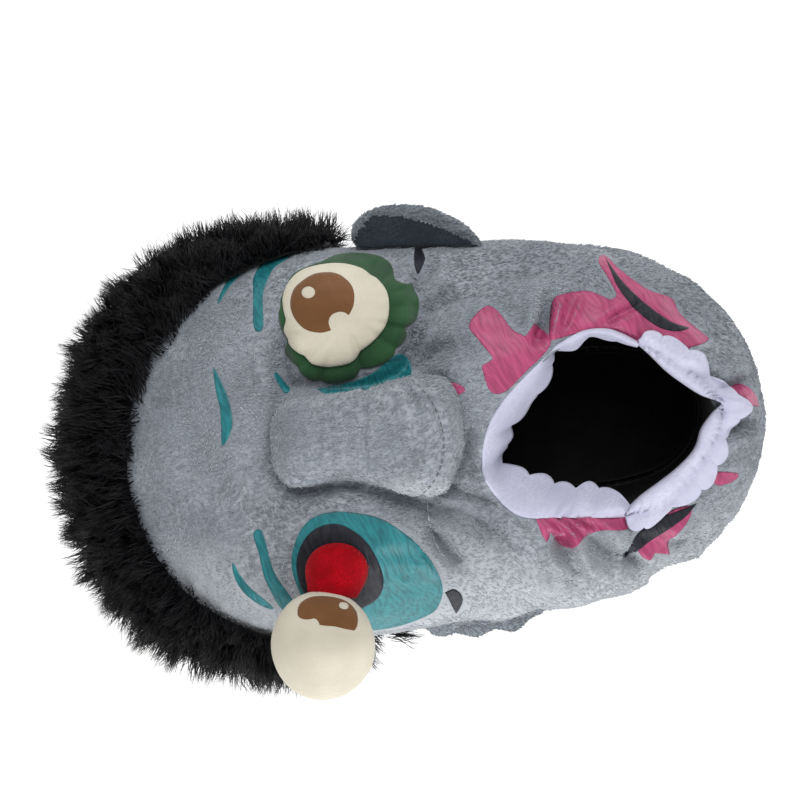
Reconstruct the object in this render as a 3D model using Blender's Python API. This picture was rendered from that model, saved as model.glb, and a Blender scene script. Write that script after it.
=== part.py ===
"""Plush slipper made as a monster's head. The toe points to -X, the heel to +X, and the sole stands on z = 0.

The stuffed upper is one closed ring. Its profile runs from the sole's edge out over the side, up to
the collar, over the collar's lip, down the lining and back under to the sole, and ribs carry that
profile round the foot. Everything that is sewn on top takes its seat from the same skin.
"""

import math
from collections import namedtuple

import bmesh
import bpy
import numpy as np
from mathutils import Vector

for old in list(bpy.data.objects):
    bpy.data.objects.remove(old)

# Sole and insole, in metres
SOLE_LENGTH = 0.294
SOLE_BALL_WIDTH = 0.112
SOLE_THICKNESS = 0.008
SOLE_EDGE_ROUND = 0.0025
INSOLE_THICKNESS = 0.006
GAP = 0.0004
SEAT_GAP = 0.0007

# The stuffed head round the foot
HEAD_LENGTH = 0.3355
HEAD_WIDTH = 0.197
HEAD_SHIFT = -0.0012
BULGE_HEIGHT = 0.047
CREST_HEIGHT = 0.127
DOME_PLAN_POWER = 2.6
DOME_RISE_POWER = 2.1
UNDER_POWER = 2.2

# The foot's pocket inside it
POCKET_LENGTH = 0.284
POCKET_BALL_WIDTH = 0.128
POCKET_SHIFT = 0.001
POCKET_BULGE_HEIGHT = 0.030
POCKET_POWER = 2.0
SEAM_LEDGE = 0.008

# The collar, which is the monster's open mouth
COLLAR_CENTRE_X = 0.088
COLLAR_REACH = 0.066
LIP_ROUND = 0.006

# White felt bands that stand for its teeth
FELT_THICKNESS = 0.0015
TEETH_FRONT_DROP = 0.82
TEETH_FRONT_LENGTH = 0.025
TEETH_REAR_TURN = 0.019
TOOTH_PITCH = 0.0175
TOOTH_DEPTH = 0.22

# Fur that covers the crown of the head, at the toe
FUR_THICKNESS = 0.0085
FUR_BACKING_GAP = 0.0015
FUR_LOCK_LENGTH = 0.0105
FUR_LOWEST = 0.46
FUR_END_X = -0.038

# Stuffed nose
NOSE_BACK_X = -0.075
NOSE_TIP_X = 0.014
NOSE_Y = 0.0035
NOSE_WIDTH = 0.057
NOSE_HEIGHT = 0.031

# Sewn-on eye with its scalloped lid
EYE_X = -0.0335
EYE_Y = 0.0625
LID_RADIUS = 0.0325
LID_PAD = 0.0055
EYE_SHIFT_X = -0.0062
EYE_SHIFT_Y = -0.0005
EYE_RADIUS = 0.0262
EYE_PAD = 0.0085

# Eyeball that has popped out on its stalk
BALL_X = -0.0590
BALL_Y = -0.0900
BALL_Z = 0.1245
BALL_RADIUS = 0.0248
BALL_FACE_LIFT = 38.0
STALK_X = -0.0500
STALK_Y = -0.0560
STALK_ROOT_RADIUS = 0.0135
STALK_END_ANGLE = 23.0

# Ears
EAR_Z = 0.063
EAR_HALF_WIDTH = 0.031
EAR_THICKNESS = 0.0085
EAR_CUP = 0.006

RIBS = 70
UNDER_ROWS = 5
TOP_ROWS = 11
LIP_ROWS = 2
LINING_ROWS = 6
TUCK_ROWS = 4
LOOP_STEPS = 720
SEAT_HEIGHT = SOLE_THICKNESS + GAP

# Half widths of the three outlines, as shares of each one's own half width, at shares of its own length
Plan = namedtuple("Plan", "station head sole pocket")
PLAN = [
    Plan(0.000, 0.000, 0.00, 0.00),
    Plan(0.012, 0.300, 0.26, 0.26),
    Plan(0.042, 0.560, 0.50, 0.50),
    Plan(0.100, 0.790, 0.76, 0.76),
    Plan(0.175, 0.925, 0.92, 0.91),
    Plan(0.250, 0.985, 0.985, 0.98),
    Plan(0.325, 1.000, 1.00, 1.00),
    Plan(0.420, 0.975, 0.95, 0.97),
    Plan(0.530, 0.950, 0.86, 0.91),
    Plan(0.640, 0.934, 0.79, 0.85),
    Plan(0.730, 0.904, 0.76, 0.81),
    Plan(0.830, 0.822, 0.74, 0.76),
    Plan(0.920, 0.614, 0.62, 0.60),
    Plan(0.975, 0.370, 0.36, 0.36),
    Plan(1.000, 0.000, 0.00, 0.00),
]

# Height of the crest line as a share of CREST_HEIGHT, at shares of the head's length
Crest = namedtuple("Crest", "station height")
CREST = [
    Crest(0.00, 0.86),
    Crest(0.12, 0.93),
    Crest(0.25, 1.00),
    Crest(0.37, 0.985),
    Crest(0.47, 0.935),
    Crest(0.57, 0.915),
    Crest(0.70, 0.875),
    Crest(0.85, 0.83),
    Crest(1.00, 0.80),
]

# The collar's own outline: degrees from the heel towards +Y, and reach as a share of COLLAR_REACH
Collar = namedtuple("Collar", "degrees reach")
COLLAR = [
    Collar(2.0, 0.755),
    Collar(22.0, 0.650),
    Collar(47.0, 0.565),
    Collar(66.0, 0.57),
    Collar(95.0, 0.65),
    Collar(123.0, 0.66),
    Collar(147.0, 0.70),
    Collar(170.0, 0.84),
    Collar(191.0, 1.00),
    Collar(208.0, 1.00),
    Collar(223.0, 0.93),
    Collar(236.0, 0.83),
    Collar(254.0, 0.74),
    Collar(273.0, 0.74),
    Collar(301.0, 0.645),
    Collar(340.0, 0.665),
]
TEETH_FRONT_FROM, TEETH_FRONT_TO = 71.0, 268.0
TEETH_REAR_FROM, TEETH_REAR_TO = -84.0, 64.0

# The ears' middles along the foot, how far they reach, and which way: one is pricked and one droops
Ear = namedtuple("Ear", "name side middle_x reach lean_x lean_y lean_z")
EARS = [
    Ear("ear_right", 1, 0.002, 0.025, -0.34, 0.80, 0.50),
    Ear("ear_left", -1, 0.017, 0.020, 0.16, -0.58, -0.80),
]

# Upper edge of the fur on the dome, as a share of the way from the bulge to the collar's lip
FurEdge = namedtuple("FurEdge", "station share")
FUR_EDGE = [
    FurEdge(0.00, 0.385),
    FurEdge(0.10, 0.390),
    FurEdge(0.20, 0.355),
    FurEdge(0.28, 0.300),
    FurEdge(0.36, 0.200),
    FurEdge(0.43, 0.090),
    FurEdge(0.50, 0.050),
]

# Nose sections from the bridge to the tip: half width and height as shares, at shares of its length
NoseRow = namedtuple("NoseRow", "station width height")
NOSE = [
    NoseRow(0.00, 0.36, 0.26),
    NoseRow(0.04, 0.62, 0.46),
    NoseRow(0.14, 0.77, 0.64),
    NoseRow(0.32, 0.80, 0.74),
    NoseRow(0.50, 0.82, 0.84),
    NoseRow(0.66, 0.92, 0.96),
    NoseRow(0.80, 1.00, 1.00),
    NoseRow(0.91, 0.94, 0.90),
    NoseRow(0.98, 0.74, 0.66),
    NoseRow(1.00, 0.46, 0.44),
]

# Eyeball's reach from its middle, as a share of BALL_RADIUS, by degrees from the middle of its face
BallRow = namedtuple("BallRow", "degrees reach")
BALL = [
    BallRow(0, 0.80),
    BallRow(22, 0.84),
    BallRow(42, 0.94),
    BallRow(56, 1.00),
    BallRow(75, 1.00),
    BallRow(100, 1.00),
    BallRow(125, 1.02),
    BallRow(150, 1.05),
    BallRow(180, 1.06),
]


def glide(at, knots, values):
    """A smooth curve through the values at their knots, read at the places in at."""
    knots, values = np.asarray(knots, float), np.asarray(values, float)
    slopes = np.gradient(values, knots)
    i = np.clip(np.searchsorted(knots, at, side="right") - 1, 0, len(knots) - 2)
    span = knots[i + 1] - knots[i]
    t = np.clip((at - knots[i]) / span, 0, 1)
    left = (1 + 2 * t) * (1 - t) ** 2 * values[i] + t * (1 - t) ** 2 * span * slopes[i]
    right = t * t * (3 - 2 * t) * values[i + 1] + t * t * (t - 1) * span * slopes[i + 1]
    return left + right


def smooth_loop(points, count):
    """A closed smooth curve through the points."""
    wrapped = np.vstack([points[-4:], points, points[:5]])
    steps = np.linalg.norm(np.diff(wrapped, axis=0), axis=1) ** 0.5
    knots = np.concatenate([[0], np.cumsum(steps)])
    at = np.linspace(knots[4], knots[4 + len(points)], count, endpoint=False)
    return np.column_stack([glide(at, knots, wrapped[:, i]) for i in range(2)])


def plan_outline(column, length, width, middle):
    """One of PLAN's outlines as a loop from the heel, round by +Y to the toe and back by -Y."""
    side = [(middle + (row.station - 0.5) * length, getattr(row, column) * width / 2) for row in PLAN]
    side = np.array(side[::-1])
    return smooth_loop(np.vstack([side, side[-2:0:-1] * (1, -1)]), LOOP_STEPS)


HEAD_LOOP = plan_outline("head", HEAD_LENGTH, HEAD_WIDTH, HEAD_SHIFT)
SOLE_LOOP = plan_outline("sole", SOLE_LENGTH, SOLE_BALL_WIDTH, 0.0)
POCKET_LOOP = plan_outline("pocket", POCKET_LENGTH, POCKET_BALL_WIDTH, POCKET_SHIFT)


def on_loop(loop, turn):
    """The loop's points at turns from 0 to 1."""
    place = np.mod(turn, 1.0) * len(loop)
    i = np.floor(place).astype(int) % len(loop)
    part = (place - np.floor(place))[..., None]
    return loop[i] * (1 - part) + loop[(i + 1) % len(loop)] * part


def even_turns(loop, count):
    """Turns that lie evenly along the loop's length."""
    steps = np.linalg.norm(np.roll(loop, -1, axis=0) - loop, axis=1)
    run = np.concatenate([[0], np.cumsum(steps)])
    return np.interp(np.arange(count) / count * run[-1], run, np.arange(len(loop) + 1) / len(loop))


def inward(loop, turn):
    """Unit normals in plan that point into the loop, which runs anticlockwise."""
    along = on_loop(loop, turn + 0.002) - on_loop(loop, turn - 0.002)
    along /= np.linalg.norm(along, axis=-1, keepdims=True)
    return np.stack([-along[..., 1], along[..., 0]], axis=-1)


def direction_of(plan):
    """Degrees round the collar's centre, from the heel towards +Y."""
    return np.degrees(np.arctan2(plan[..., 1], plan[..., 0] - COLLAR_CENTRE_X)) % 360


HEAD_DIRECTIONS = direction_of(HEAD_LOOP)
HEAD_ORDER = np.argsort(HEAD_DIRECTIONS)
HEAD_REACHES = np.hypot(HEAD_LOOP[:, 0] - COLLAR_CENTRE_X, HEAD_LOOP[:, 1])


def head_share(plan):
    """How far out a plan point lies, from 0 at the collar's centre to 1 at the head's outline."""
    reach = np.interp(direction_of(plan), HEAD_DIRECTIONS[HEAD_ORDER], HEAD_REACHES[HEAD_ORDER], period=360)
    return np.hypot(plan[..., 0] - COLLAR_CENTRE_X, plan[..., 1]) / reach


def crest(x):
    station = (x - HEAD_SHIFT) / HEAD_LENGTH + 0.5
    return CREST_HEIGHT * glide(station, [row.station for row in CREST], [row.height for row in CREST])


def dome(plan):
    """Height of the head's skin above the bulge line."""
    fall = np.clip(1 - head_share(plan) ** DOME_PLAN_POWER, 0, 1) ** (1 / DOME_RISE_POWER)
    return BULGE_HEIGHT + (crest(plan[..., 0]) - BULGE_HEIGHT) * fall


def is_inside(points):
    """True for points under the dome, from the bulge line up."""
    plan = points[..., :2]
    return (head_share(plan) < 1) & (points[..., 2] < dome(plan))


def meet(starts, direction, reach):
    """Where lines from inside the head come out through its skin."""
    low, high = np.zeros(starts.shape[:-1]), np.full(starts.shape[:-1], float(reach))
    for _ in range(40):
        middle = (low + high) / 2
        inside = is_inside(starts + middle[..., None] * direction)
        low, high = np.where(inside, middle, low), np.where(inside, high, middle)
    return starts + low[..., None] * direction


def skin_normal(x, y):
    """The dome's unit normal over a plan point."""
    step = 0.001
    slope_x = (dome(np.array([x + step, y])) - dome(np.array([x - step, y]))) / (2 * step)
    slope_y = (dome(np.array([x, y + step])) - dome(np.array([x, y - step]))) / (2 * step)
    return np.array(Vector((-slope_x, -slope_y, 1)).normalized())


def collar_point(degrees):
    rows = COLLAR[-4:] + COLLAR + COLLAR[:4]
    turns = [-360] * 4 + [0] * len(COLLAR) + [360] * 4
    knots = [row.degrees + turn for row, turn in zip(rows, turns)]
    reach = COLLAR_REACH * glide(np.mod(degrees, 360), knots, [row.reach for row in rows])
    angle = np.radians(degrees)
    return np.stack([COLLAR_CENTRE_X + reach * np.cos(angle), reach * np.sin(angle)], axis=-1)


def collar_outward(degrees):
    along = collar_point(degrees + 3.0) - collar_point(degrees - 3.0)
    along /= np.linalg.norm(along, axis=-1, keepdims=True)
    return np.stack([along[..., 1], -along[..., 0]], axis=-1)


def at_height(plan, z):
    return np.concatenate([plan, np.broadcast_to(z, plan.shape[:-1])[..., None]], axis=-1)


def quarter(share, power):
    """Sideways and upright shares of a quarter superellipse, at a share of the way round it."""
    turn = share * math.pi / 2
    return np.sin(turn) ** (2 / power), np.cos(turn) ** (2 / power)


def under_skin(turn, share):
    """The skin from the sole's edge, share 0, to the bulge, share 1."""
    sideways, upright = quarter(share, UNDER_POWER)
    sole, head = on_loop(SOLE_LOOP, turn), on_loop(HEAD_LOOP, turn)
    plan = sole + (head - sole) * np.asarray(sideways)[..., None]
    return at_height(plan, BULGE_HEIGHT - (BULGE_HEIGHT - SEAT_HEIGHT) * upright)


def top_skin(turn, share):
    """The skin from the bulge, share 0, over the head to the collar's lip, share 1."""
    start = on_loop(HEAD_LOOP, turn)
    degrees = direction_of(start)
    end = collar_point(degrees) + collar_outward(degrees) * LIP_ROUND
    run = np.linalg.norm(end - start, axis=-1, keepdims=True)
    bend = start + inward(HEAD_LOOP, turn) * run * 0.45
    s = (1 - np.cos(np.asarray(share) * math.pi / 2))[..., None]
    plan = start * (1 - s) ** 2 + bend * 2 * s * (1 - s) + end * s * s
    return at_height(plan, dome(plan))


def lip_skin(degrees, share):
    """The collar's round lip, from its top, share 0, to the lining's seam, share 1."""
    outward = collar_outward(degrees)
    edge = collar_point(degrees)
    top = dome(edge + outward * LIP_ROUND)
    turn = share * math.pi / 2
    plan = edge + outward * (LIP_ROUND * (1 - np.sin(turn)))
    return at_height(plan, top - LIP_ROUND * (1 - math.cos(turn)))


def lining_skin(turn, share):
    """The lining from the collar's seam, share 0, to the pocket's widest line, share 1."""
    seam = lip_skin(direction_of(on_loop(HEAD_LOOP, turn)), 1.0)
    wide = on_loop(POCKET_LOOP, turn)
    run = np.linalg.norm(wide - seam[..., :2], axis=-1)
    forward = np.clip((run - 0.020) / 0.100, 0, 1)
    forward = forward * forward * (3 - 2 * forward)
    g = math.sin(share * math.pi / 2)
    fall = (1 - 0.55 * forward * g) * (1 - g ** (1.15 + 2.2 * forward)) ** (1 / (1.15 + 1.1 * forward))
    plan = seam[..., :2] + (wide - seam[..., :2]) * g
    return at_height(plan, POCKET_BULGE_HEIGHT + (seam[..., 2] - POCKET_BULGE_HEIGHT) * fall)


def tuck_skin(turn, share):
    """The lining from the pocket's widest line, share 0, back under to the sole, share 1."""
    wide = on_loop(POCKET_LOOP, turn)
    inner = on_loop(SOLE_LOOP, turn) + inward(SOLE_LOOP, turn) * SEAM_LEDGE
    sideways, upright = quarter(1 - share, POCKET_POWER)
    plan = inner + (wide - inner) * sideways
    return at_height(plan, POCKET_BULGE_HEIGHT - (POCKET_BULGE_HEIGHT - SEAT_HEIGHT) * upright)


def material(name, colour, roughness):
    made = bpy.data.materials.new(name)
    made.use_nodes = True
    shader = made.node_tree.nodes["Principled BSDF"]
    shader.inputs["Base Color"].default_value = (*colour, 1)
    shader.inputs["Roughness"].default_value = roughness
    shader.inputs["Metallic"].default_value = 0.0
    return made


GREY_PLUSH = material("grey_plush", (0.27, 0.31, 0.34), 0.9)
BLACK_FUR = material("black_fur", (0.012, 0.012, 0.014), 0.8)
WHITE_FELT = material("white_felt", (0.78, 0.77, 0.86), 0.95)
CREAM_KNIT = material("cream_knit", (0.78, 0.73, 0.60), 0.85)
GREEN_KNIT = material("green_knit", (0.035, 0.095, 0.040), 0.85)
RED_FLEECE = material("red_fleece", (0.62, 0.010, 0.020), 0.9)
BLACK_LINING = material("black_lining", (0.010, 0.010, 0.012), 0.95)
SOLE_CLOTH = material("sole_cloth", (0.020, 0.020, 0.022), 0.9)


def solid(name, points, faces, look):
    mesh = bpy.data.meshes.new(name)
    mesh.from_pydata([tuple(p) for p in points], [], faces)
    shell = bmesh.new()
    shell.from_mesh(mesh)
    bmesh.ops.recalc_face_normals(shell, faces=shell.faces)
    shell.to_mesh(mesh)
    shell.free()
    mesh.materials.append(look)
    mesh.shade_smooth()
    made = bpy.data.objects.new(name, mesh)
    bpy.context.scene.collection.objects.link(made)
    return made


def grid_faces(rows, columns, wrap_rows=False, wrap_columns=False, first=0):
    """Four-sided faces over points that are numbered row by row."""
    faces = []
    for r in range(rows if wrap_rows else rows - 1):
        for c in range(columns if wrap_columns else columns - 1):
            down, right = (r + 1) % rows, (c + 1) % columns
            face = [first + r * columns + c, first + r * columns + right]
            face += [first + down * columns + right, first + down * columns + c]
            faces.append(face)
    return faces


def stacked_rings(name, rings, look):
    """A closed solid from rings of equal length, with a fanned cap at each end."""
    rings = np.asarray(rings)
    count, columns = rings.shape[:2]
    points = rings.reshape(-1, 3)
    faces = grid_faces(count, columns, wrap_columns=True)
    for ring in (0, count - 1):
        middle = len(points)
        points = np.vstack([points, rings[ring].mean(axis=0)])
        for c in range(columns):
            faces.append([ring * columns + (c + 1) % columns, ring * columns + c, middle])
    return solid(name, points, faces, look)


def two_sided(name, front, back, look, locks=None):
    """A closed sheet between a front grid and a back grid; locks are the front's normals if it is furry."""
    rows, columns = front.shape[:2]
    count = rows * columns
    points = np.vstack([front.reshape(-1, 3), back.reshape(-1, 3)])
    faces = grid_faces(rows, columns)
    if locks is not None:
        points, faces = add_locks(points, faces, locks)
    faces += grid_faces(rows, columns, first=count)
    near = list(range(columns))
    right = [r * columns + columns - 1 for r in range(1, rows)]
    far = [(rows - 1) * columns + c for c in range(columns - 2, -1, -1)]
    left = [r * columns for r in range(rows - 2, 0, -1)]
    loop = near + right + far + left
    faces += [[b, a, a + count, b + count] for a, b in zip(loop, loop[1:] + loop[:1])]
    return solid(name, points, faces, look)


def make_upper():
    turns = even_turns(HEAD_LOOP, RIBS)
    degrees = direction_of(on_loop(HEAD_LOOP, turns))
    rows = [under_skin(turns, i / (UNDER_ROWS - 1)) for i in range(UNDER_ROWS)]
    rows += [top_skin(turns, i / TOP_ROWS) for i in range(1, TOP_ROWS + 1)]
    rows += [lip_skin(degrees, i / LIP_ROWS) for i in range(1, LIP_ROWS + 1)]
    rows += [lining_skin(turns, i / LINING_ROWS) for i in range(1, LINING_ROWS + 1)]
    rows += [tuck_skin(turns, i / TUCK_ROWS) for i in range(1, TUCK_ROWS + 1)]
    faces = grid_faces(len(rows), RIBS, wrap_rows=True, wrap_columns=True)
    return solid("upper", np.vstack(rows), faces, GREY_PLUSH)


def flat_slab(name, loop, shrink, low, high, edge_round, columns, look):
    """A flat sole with round edges, cut to a loop that is drawn in by shrink."""
    turns = even_turns(loop, columns)
    edge, into = on_loop(loop, turns), inward(loop, turns)
    draws = [(edge_round, low), (0.0, low + edge_round), (0.0, high - edge_round), (edge_round, high)]
    rings = [at_height(edge + into * (shrink + draw), z) for draw, z in draws]
    return stacked_rings(name, rings, look)


def make_soles():
    flat_slab("outsole", SOLE_LOOP, 0.0, 0.0, SOLE_THICKNESS, SOLE_EDGE_ROUND, 56, SOLE_CLOTH)
    low = SOLE_THICKNESS + GAP
    high = low + INSOLE_THICKNESS
    flat_slab("insole", SOLE_LOOP, SEAM_LEDGE + GAP, low, high, 0.0015, 56, BLACK_LINING)


def grid_normals(grid):
    """Unit normals of a grid of points, out of the face that its rows and columns make."""
    down, right = np.gradient(grid, axis=0), np.gradient(grid, axis=1)
    normals = np.cross(right, down)
    return normals / np.linalg.norm(normals, axis=-1, keepdims=True)


def skin_at(turn, height):
    """The outer skin: height -1 at the sole's edge, 0 at the bulge and 1 at the collar's lip."""
    below = under_skin(turn, np.clip(1 + height, 0, 1))
    above = top_skin(turn, np.clip(height, 0, 1))
    return np.where((height < 0)[..., None], below, above)


def make_fur():
    """Deep fur over the crown: a thick band with a lock fused on every face of its outside."""
    columns, rows = 45, 7
    fine = np.linspace(0, 1, LOOP_STEPS, endpoint=False)
    front = fine[on_loop(HEAD_LOOP, fine)[:, 0] < FUR_END_X]
    turns = np.linspace(front[0], front[-1], columns)
    station = (on_loop(HEAD_LOOP, turns)[:, 0] - HEAD_SHIFT) / HEAD_LENGTH + 0.5
    edge = glide(station, [row.station for row in FUR_EDGE], [row.share for row in FUR_EDGE])
    share = np.linspace(0, 1, rows)[:, None]
    height = (FUR_LOWEST - 1) * (1 - share) + edge[None, :] * share
    skin = skin_at(np.broadcast_to(turns, height.shape), height)
    normals = grid_normals(skin)
    taper = np.minimum(1, 0.22 + 4.2 * np.minimum(share, 1 - share))
    side = np.minimum(1, 0.30 + 5 * np.minimum(np.linspace(0, 1, columns), np.linspace(1, 0, columns)))
    inner = skin + normals * FUR_BACKING_GAP
    outer = skin + normals * (FUR_BACKING_GAP + FUR_THICKNESS * taper * side)[..., None]
    return two_sided("fur", outer, inner, BLACK_FUR, locks=normals)


def add_locks(points, faces, normals):
    """Raises one leaning lock from each four-sided face, for a grid with the normals given."""
    dice = np.random.default_rng(7)
    rows, columns = normals.shape[:2]
    points, kept = [np.array(p) for p in points], []
    for face in faces:
        row, column = divmod(face[0], columns)
        corners = [points[v] for v in face]
        across, along = (corners[1] - corners[0]) * 0.42, (corners[3] - corners[0]) * 0.42
        near_edge = min(row, rows - 2 - row) == 0
        length = FUR_LOCK_LENGTH * dice.uniform(0.55, 1.25) * (0.55 if near_edge else 1.0)
        tip = sum(corners) / 4 + normals[row, column] * length
        points.append(tip + across * dice.uniform(-1, 1) + along * dice.uniform(-1, 0.6))
        kept += [[face[i], face[(i + 1) % 4], len(points) - 1] for i in range(4)]
    return points, kept


def make_nose():
    columns, rows = 22, 13
    turn = np.arange(columns) / columns * 2 * math.pi
    share = (1 - np.cos(np.linspace(0, 1, rows) * math.pi)) / 2
    stations = [row.station for row in NOSE]
    rings = []
    for at in share:
        half = NOSE_WIDTH / 2 * glide(at, stations, [row.width for row in NOSE])
        rise = NOSE_HEIGHT * glide(at, stations, [row.height for row in NOSE])
        x = NOSE_BACK_X + (NOSE_TIP_X - NOSE_BACK_X) * at
        y = half * np.sign(np.cos(turn)) * np.abs(np.cos(turn)) ** 0.8
        plan = np.stack([np.full(columns, x), y + NOSE_Y], axis=-1)
        seat = dome(plan) + SEAT_GAP
        over = dome(np.array([x, NOSE_Y])) + rise * (0.32 + 0.68 * np.clip(np.sin(turn), 0, 1) ** 0.85)
        under = seat + rise * 0.30 * np.abs(y / half) ** 5
        rings.append(at_height(plan, np.where(np.sin(turn) > 1e-6, np.maximum(over, under), under)))
    return stacked_rings("nose", rings, GREY_PLUSH)


def eye_frame():
    normal = skin_normal(EYE_X, EYE_Y)
    across = np.array(Vector((1, 0, 0)) - Vector(normal) * normal[0])
    across /= np.linalg.norm(across)
    return normal, across, np.cross(normal, across)


def lid_reach(angle):
    """The lid's scalloped edge, in metres from its middle: deep lobes below and behind the eye."""
    lobes = 0.055 * np.abs(np.sin(angle * 4.5 + 0.6)) - 0.030
    return LID_RADIUS * (1 + lobes + 0.05 * np.cos(angle))


def lid_top(a, b):
    """The lid's padded height over the skin at a place in the eye's own plane."""
    share = np.clip(np.hypot(a, b) / lid_reach(np.arctan2(b, a)), 0, 1)
    return 0.0022 + LID_PAD * np.sqrt(1 - share**4)


def pad_on_skin(name, middle, reach, low, high, look):
    """A stuffed disc: low and high give its two faces as heights over the skin."""
    normal, across, along = eye_frame()
    columns = 28
    angle = np.arange(columns) / columns * 2 * math.pi
    seat = np.array([EYE_X, EYE_Y, float(dome(np.array([EYE_X, EYE_Y])))])
    shares = (0.05, 0.30, 0.55, 0.78, 0.93, 1.0)
    rings = []
    for face, order in ((low, shares), (high, shares[::-1])):
        for share in order:
            a = middle[0] + np.cos(angle) * reach(angle) * share
            b = middle[1] + np.sin(angle) * reach(angle) * share
            start = seat + a[:, None] * across + b[:, None] * along - normal * 0.03
            height = face(a, b, share)
            rings.append(meet(start, normal, 0.06) + np.asarray(height)[..., None] * normal)
    return stacked_rings(name, rings, look)


def make_eye():
    pad_on_skin(
        "eye_lid",
        (0.0, 0.0),
        lid_reach,
        lambda a, b, share: np.full(len(a), SEAT_GAP),
        lambda a, b, share: SEAT_GAP + lid_top(a, b),
        GREEN_KNIT,
    )
    pad_on_skin(
        "eye",
        (EYE_SHIFT_X, EYE_SHIFT_Y),
        lambda angle: EYE_RADIUS * (1 + 0.03 * np.abs(np.sin(angle))),
        lambda a, b, share: 2.3 * SEAT_GAP + lid_top(a, b),
        lambda a, b, share: 2.3 * SEAT_GAP + lid_top(a, b) + 0.0018 + EYE_PAD * (1 - share**2.4) ** 0.6,
        CREAM_KNIT,
    )


def ball_frame():
    lift = math.radians(BALL_FACE_LIFT)
    face = np.array([0.10, math.cos(lift), math.sin(lift)])
    face /= np.linalg.norm(face)
    across = np.cross(face, (0, 0, 1.0))
    across /= np.linalg.norm(across)
    return np.array([BALL_X, BALL_Y, BALL_Z]), face, across, np.cross(face, across)


def ball_reach(degrees):
    return BALL_RADIUS * glide(degrees, [row.degrees for row in BALL], [row.reach for row in BALL])


def make_ball():
    middle, face, across, along = ball_frame()
    columns = 24
    angle = np.arange(columns) / columns * 2 * math.pi
    rings = []
    for degrees in (9, 25, 41, 53, 64, 80, 98, 116, 134, 152, 169):
        reach, lean = ball_reach(np.array(float(degrees))), math.radians(degrees)
        side = np.cos(angle)[:, None] * across + np.sin(angle)[:, None] * along
        rings.append(middle + reach * (math.cos(lean) * face + math.sin(lean) * side))
    return stacked_rings("eyeball", rings, CREAM_KNIT)


def make_stalk():
    """A short fat stalk, seated on the skin at one end and on the eyeball at the other."""
    middle, face, _, _ = ball_frame()
    normal = skin_normal(STALK_X, STALK_Y)
    root = np.array([STALK_X, STALK_Y, float(dome(np.array([STALK_X, STALK_Y])))])
    aim = root + normal * 0.009 - middle
    aim /= np.linalg.norm(aim)
    across = np.cross(normal, aim)
    across /= np.linalg.norm(across)
    columns = 18
    angle = np.arange(columns)[:, None] / columns * 2 * math.pi
    root_ring = np.cos(angle) * across + np.sin(angle) * np.cross(normal, across)
    ball_ring = np.cos(angle) * across + np.sin(angle) * np.cross(across, aim)

    def on_head(share):
        starts = root + root_ring * STALK_ROOT_RADIUS * share - normal * 0.03
        return meet(starts, normal, 0.06) + normal * SEAT_GAP

    def clear_of_ball(points):
        toward = points - middle
        reach = np.linalg.norm(toward, axis=1)
        toward /= reach[:, None]
        lean = np.degrees(np.arccos(np.clip(toward @ face, -1, 1)))
        return middle + toward * np.maximum(reach, ball_reach(lean) + SEAT_GAP)[:, None]

    def on_ball(share):
        cone = math.radians(STALK_END_ANGLE) * share
        return clear_of_ball(middle + (math.cos(cone) * aim + math.sin(cone) * ball_ring) * 0.001)

    rings = [on_head(0.1), on_head(0.6)]
    foot, end = on_head(1.0), on_ball(1.0)
    for share in np.linspace(0, 1, 6):
        ring = foot * (1 - share) + end * share + normal * 0.010 * math.sin(share * math.pi)
        core = ring.mean(axis=0)
        rings.append(clear_of_ball(core + (ring - core) * (1 - 0.10 * math.sin(share * math.pi))))
    rings += [on_ball(0.6), on_ball(0.1)]
    return stacked_rings("stalk", rings, RED_FLEECE)


def make_ear(ear):
    """A stuffed half round flap whose straight edge is sewn along the side of the head."""
    columns, rows = 13, 5
    lean = np.radians(np.linspace(-80, 80, columns))
    x = ear.middle_x + EAR_HALF_WIDTH * np.sin(lean)
    out = np.array(Vector((ear.lean_x, ear.lean_y, ear.lean_z)).normalized())
    roots = []
    for offset in (0.5, -0.5):
        z = np.full(columns, EAR_Z + offset * EAR_THICKNESS)
        start = np.stack([x, np.zeros(columns), z], axis=-1)
        skin = meet(start, np.array([0, ear.side, 0.0]), HEAD_WIDTH)
        roots.append(skin + np.array([0, ear.side * SEAT_GAP, 0]))
    middle = (roots[0] + roots[1]) / 2
    share = np.linspace(0, 1, rows)[:, None, None]
    round_off = np.cos(lean)[:, None]
    thin = np.sqrt(1 - 0.90 * share**5)
    cup = np.array([0, ear.side * 0.4, -0.9]) * EAR_CUP * round_off * share * (1.6 - share)
    flap = middle + out * ear.reach * round_off * share + cup
    top, bottom = [flap + (root - middle) * thin for root in roots]
    return two_sided(ear.name, top, bottom, GREY_PLUSH)


def tooth_share(run):
    """The scalloped edge of a felt band: round lobes with sharp notches between them."""
    return 1 - TOOTH_DEPTH * (1 - np.abs(np.sin(run / TOOTH_PITCH * math.pi)))


def band_place(from_degrees, to_degrees, columns):
    degrees = np.linspace(from_degrees, to_degrees, columns)
    steps = np.linalg.norm(np.diff(collar_point(degrees), axis=0), axis=1)
    return degrees, np.concatenate([[0], np.cumsum(steps)])


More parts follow.
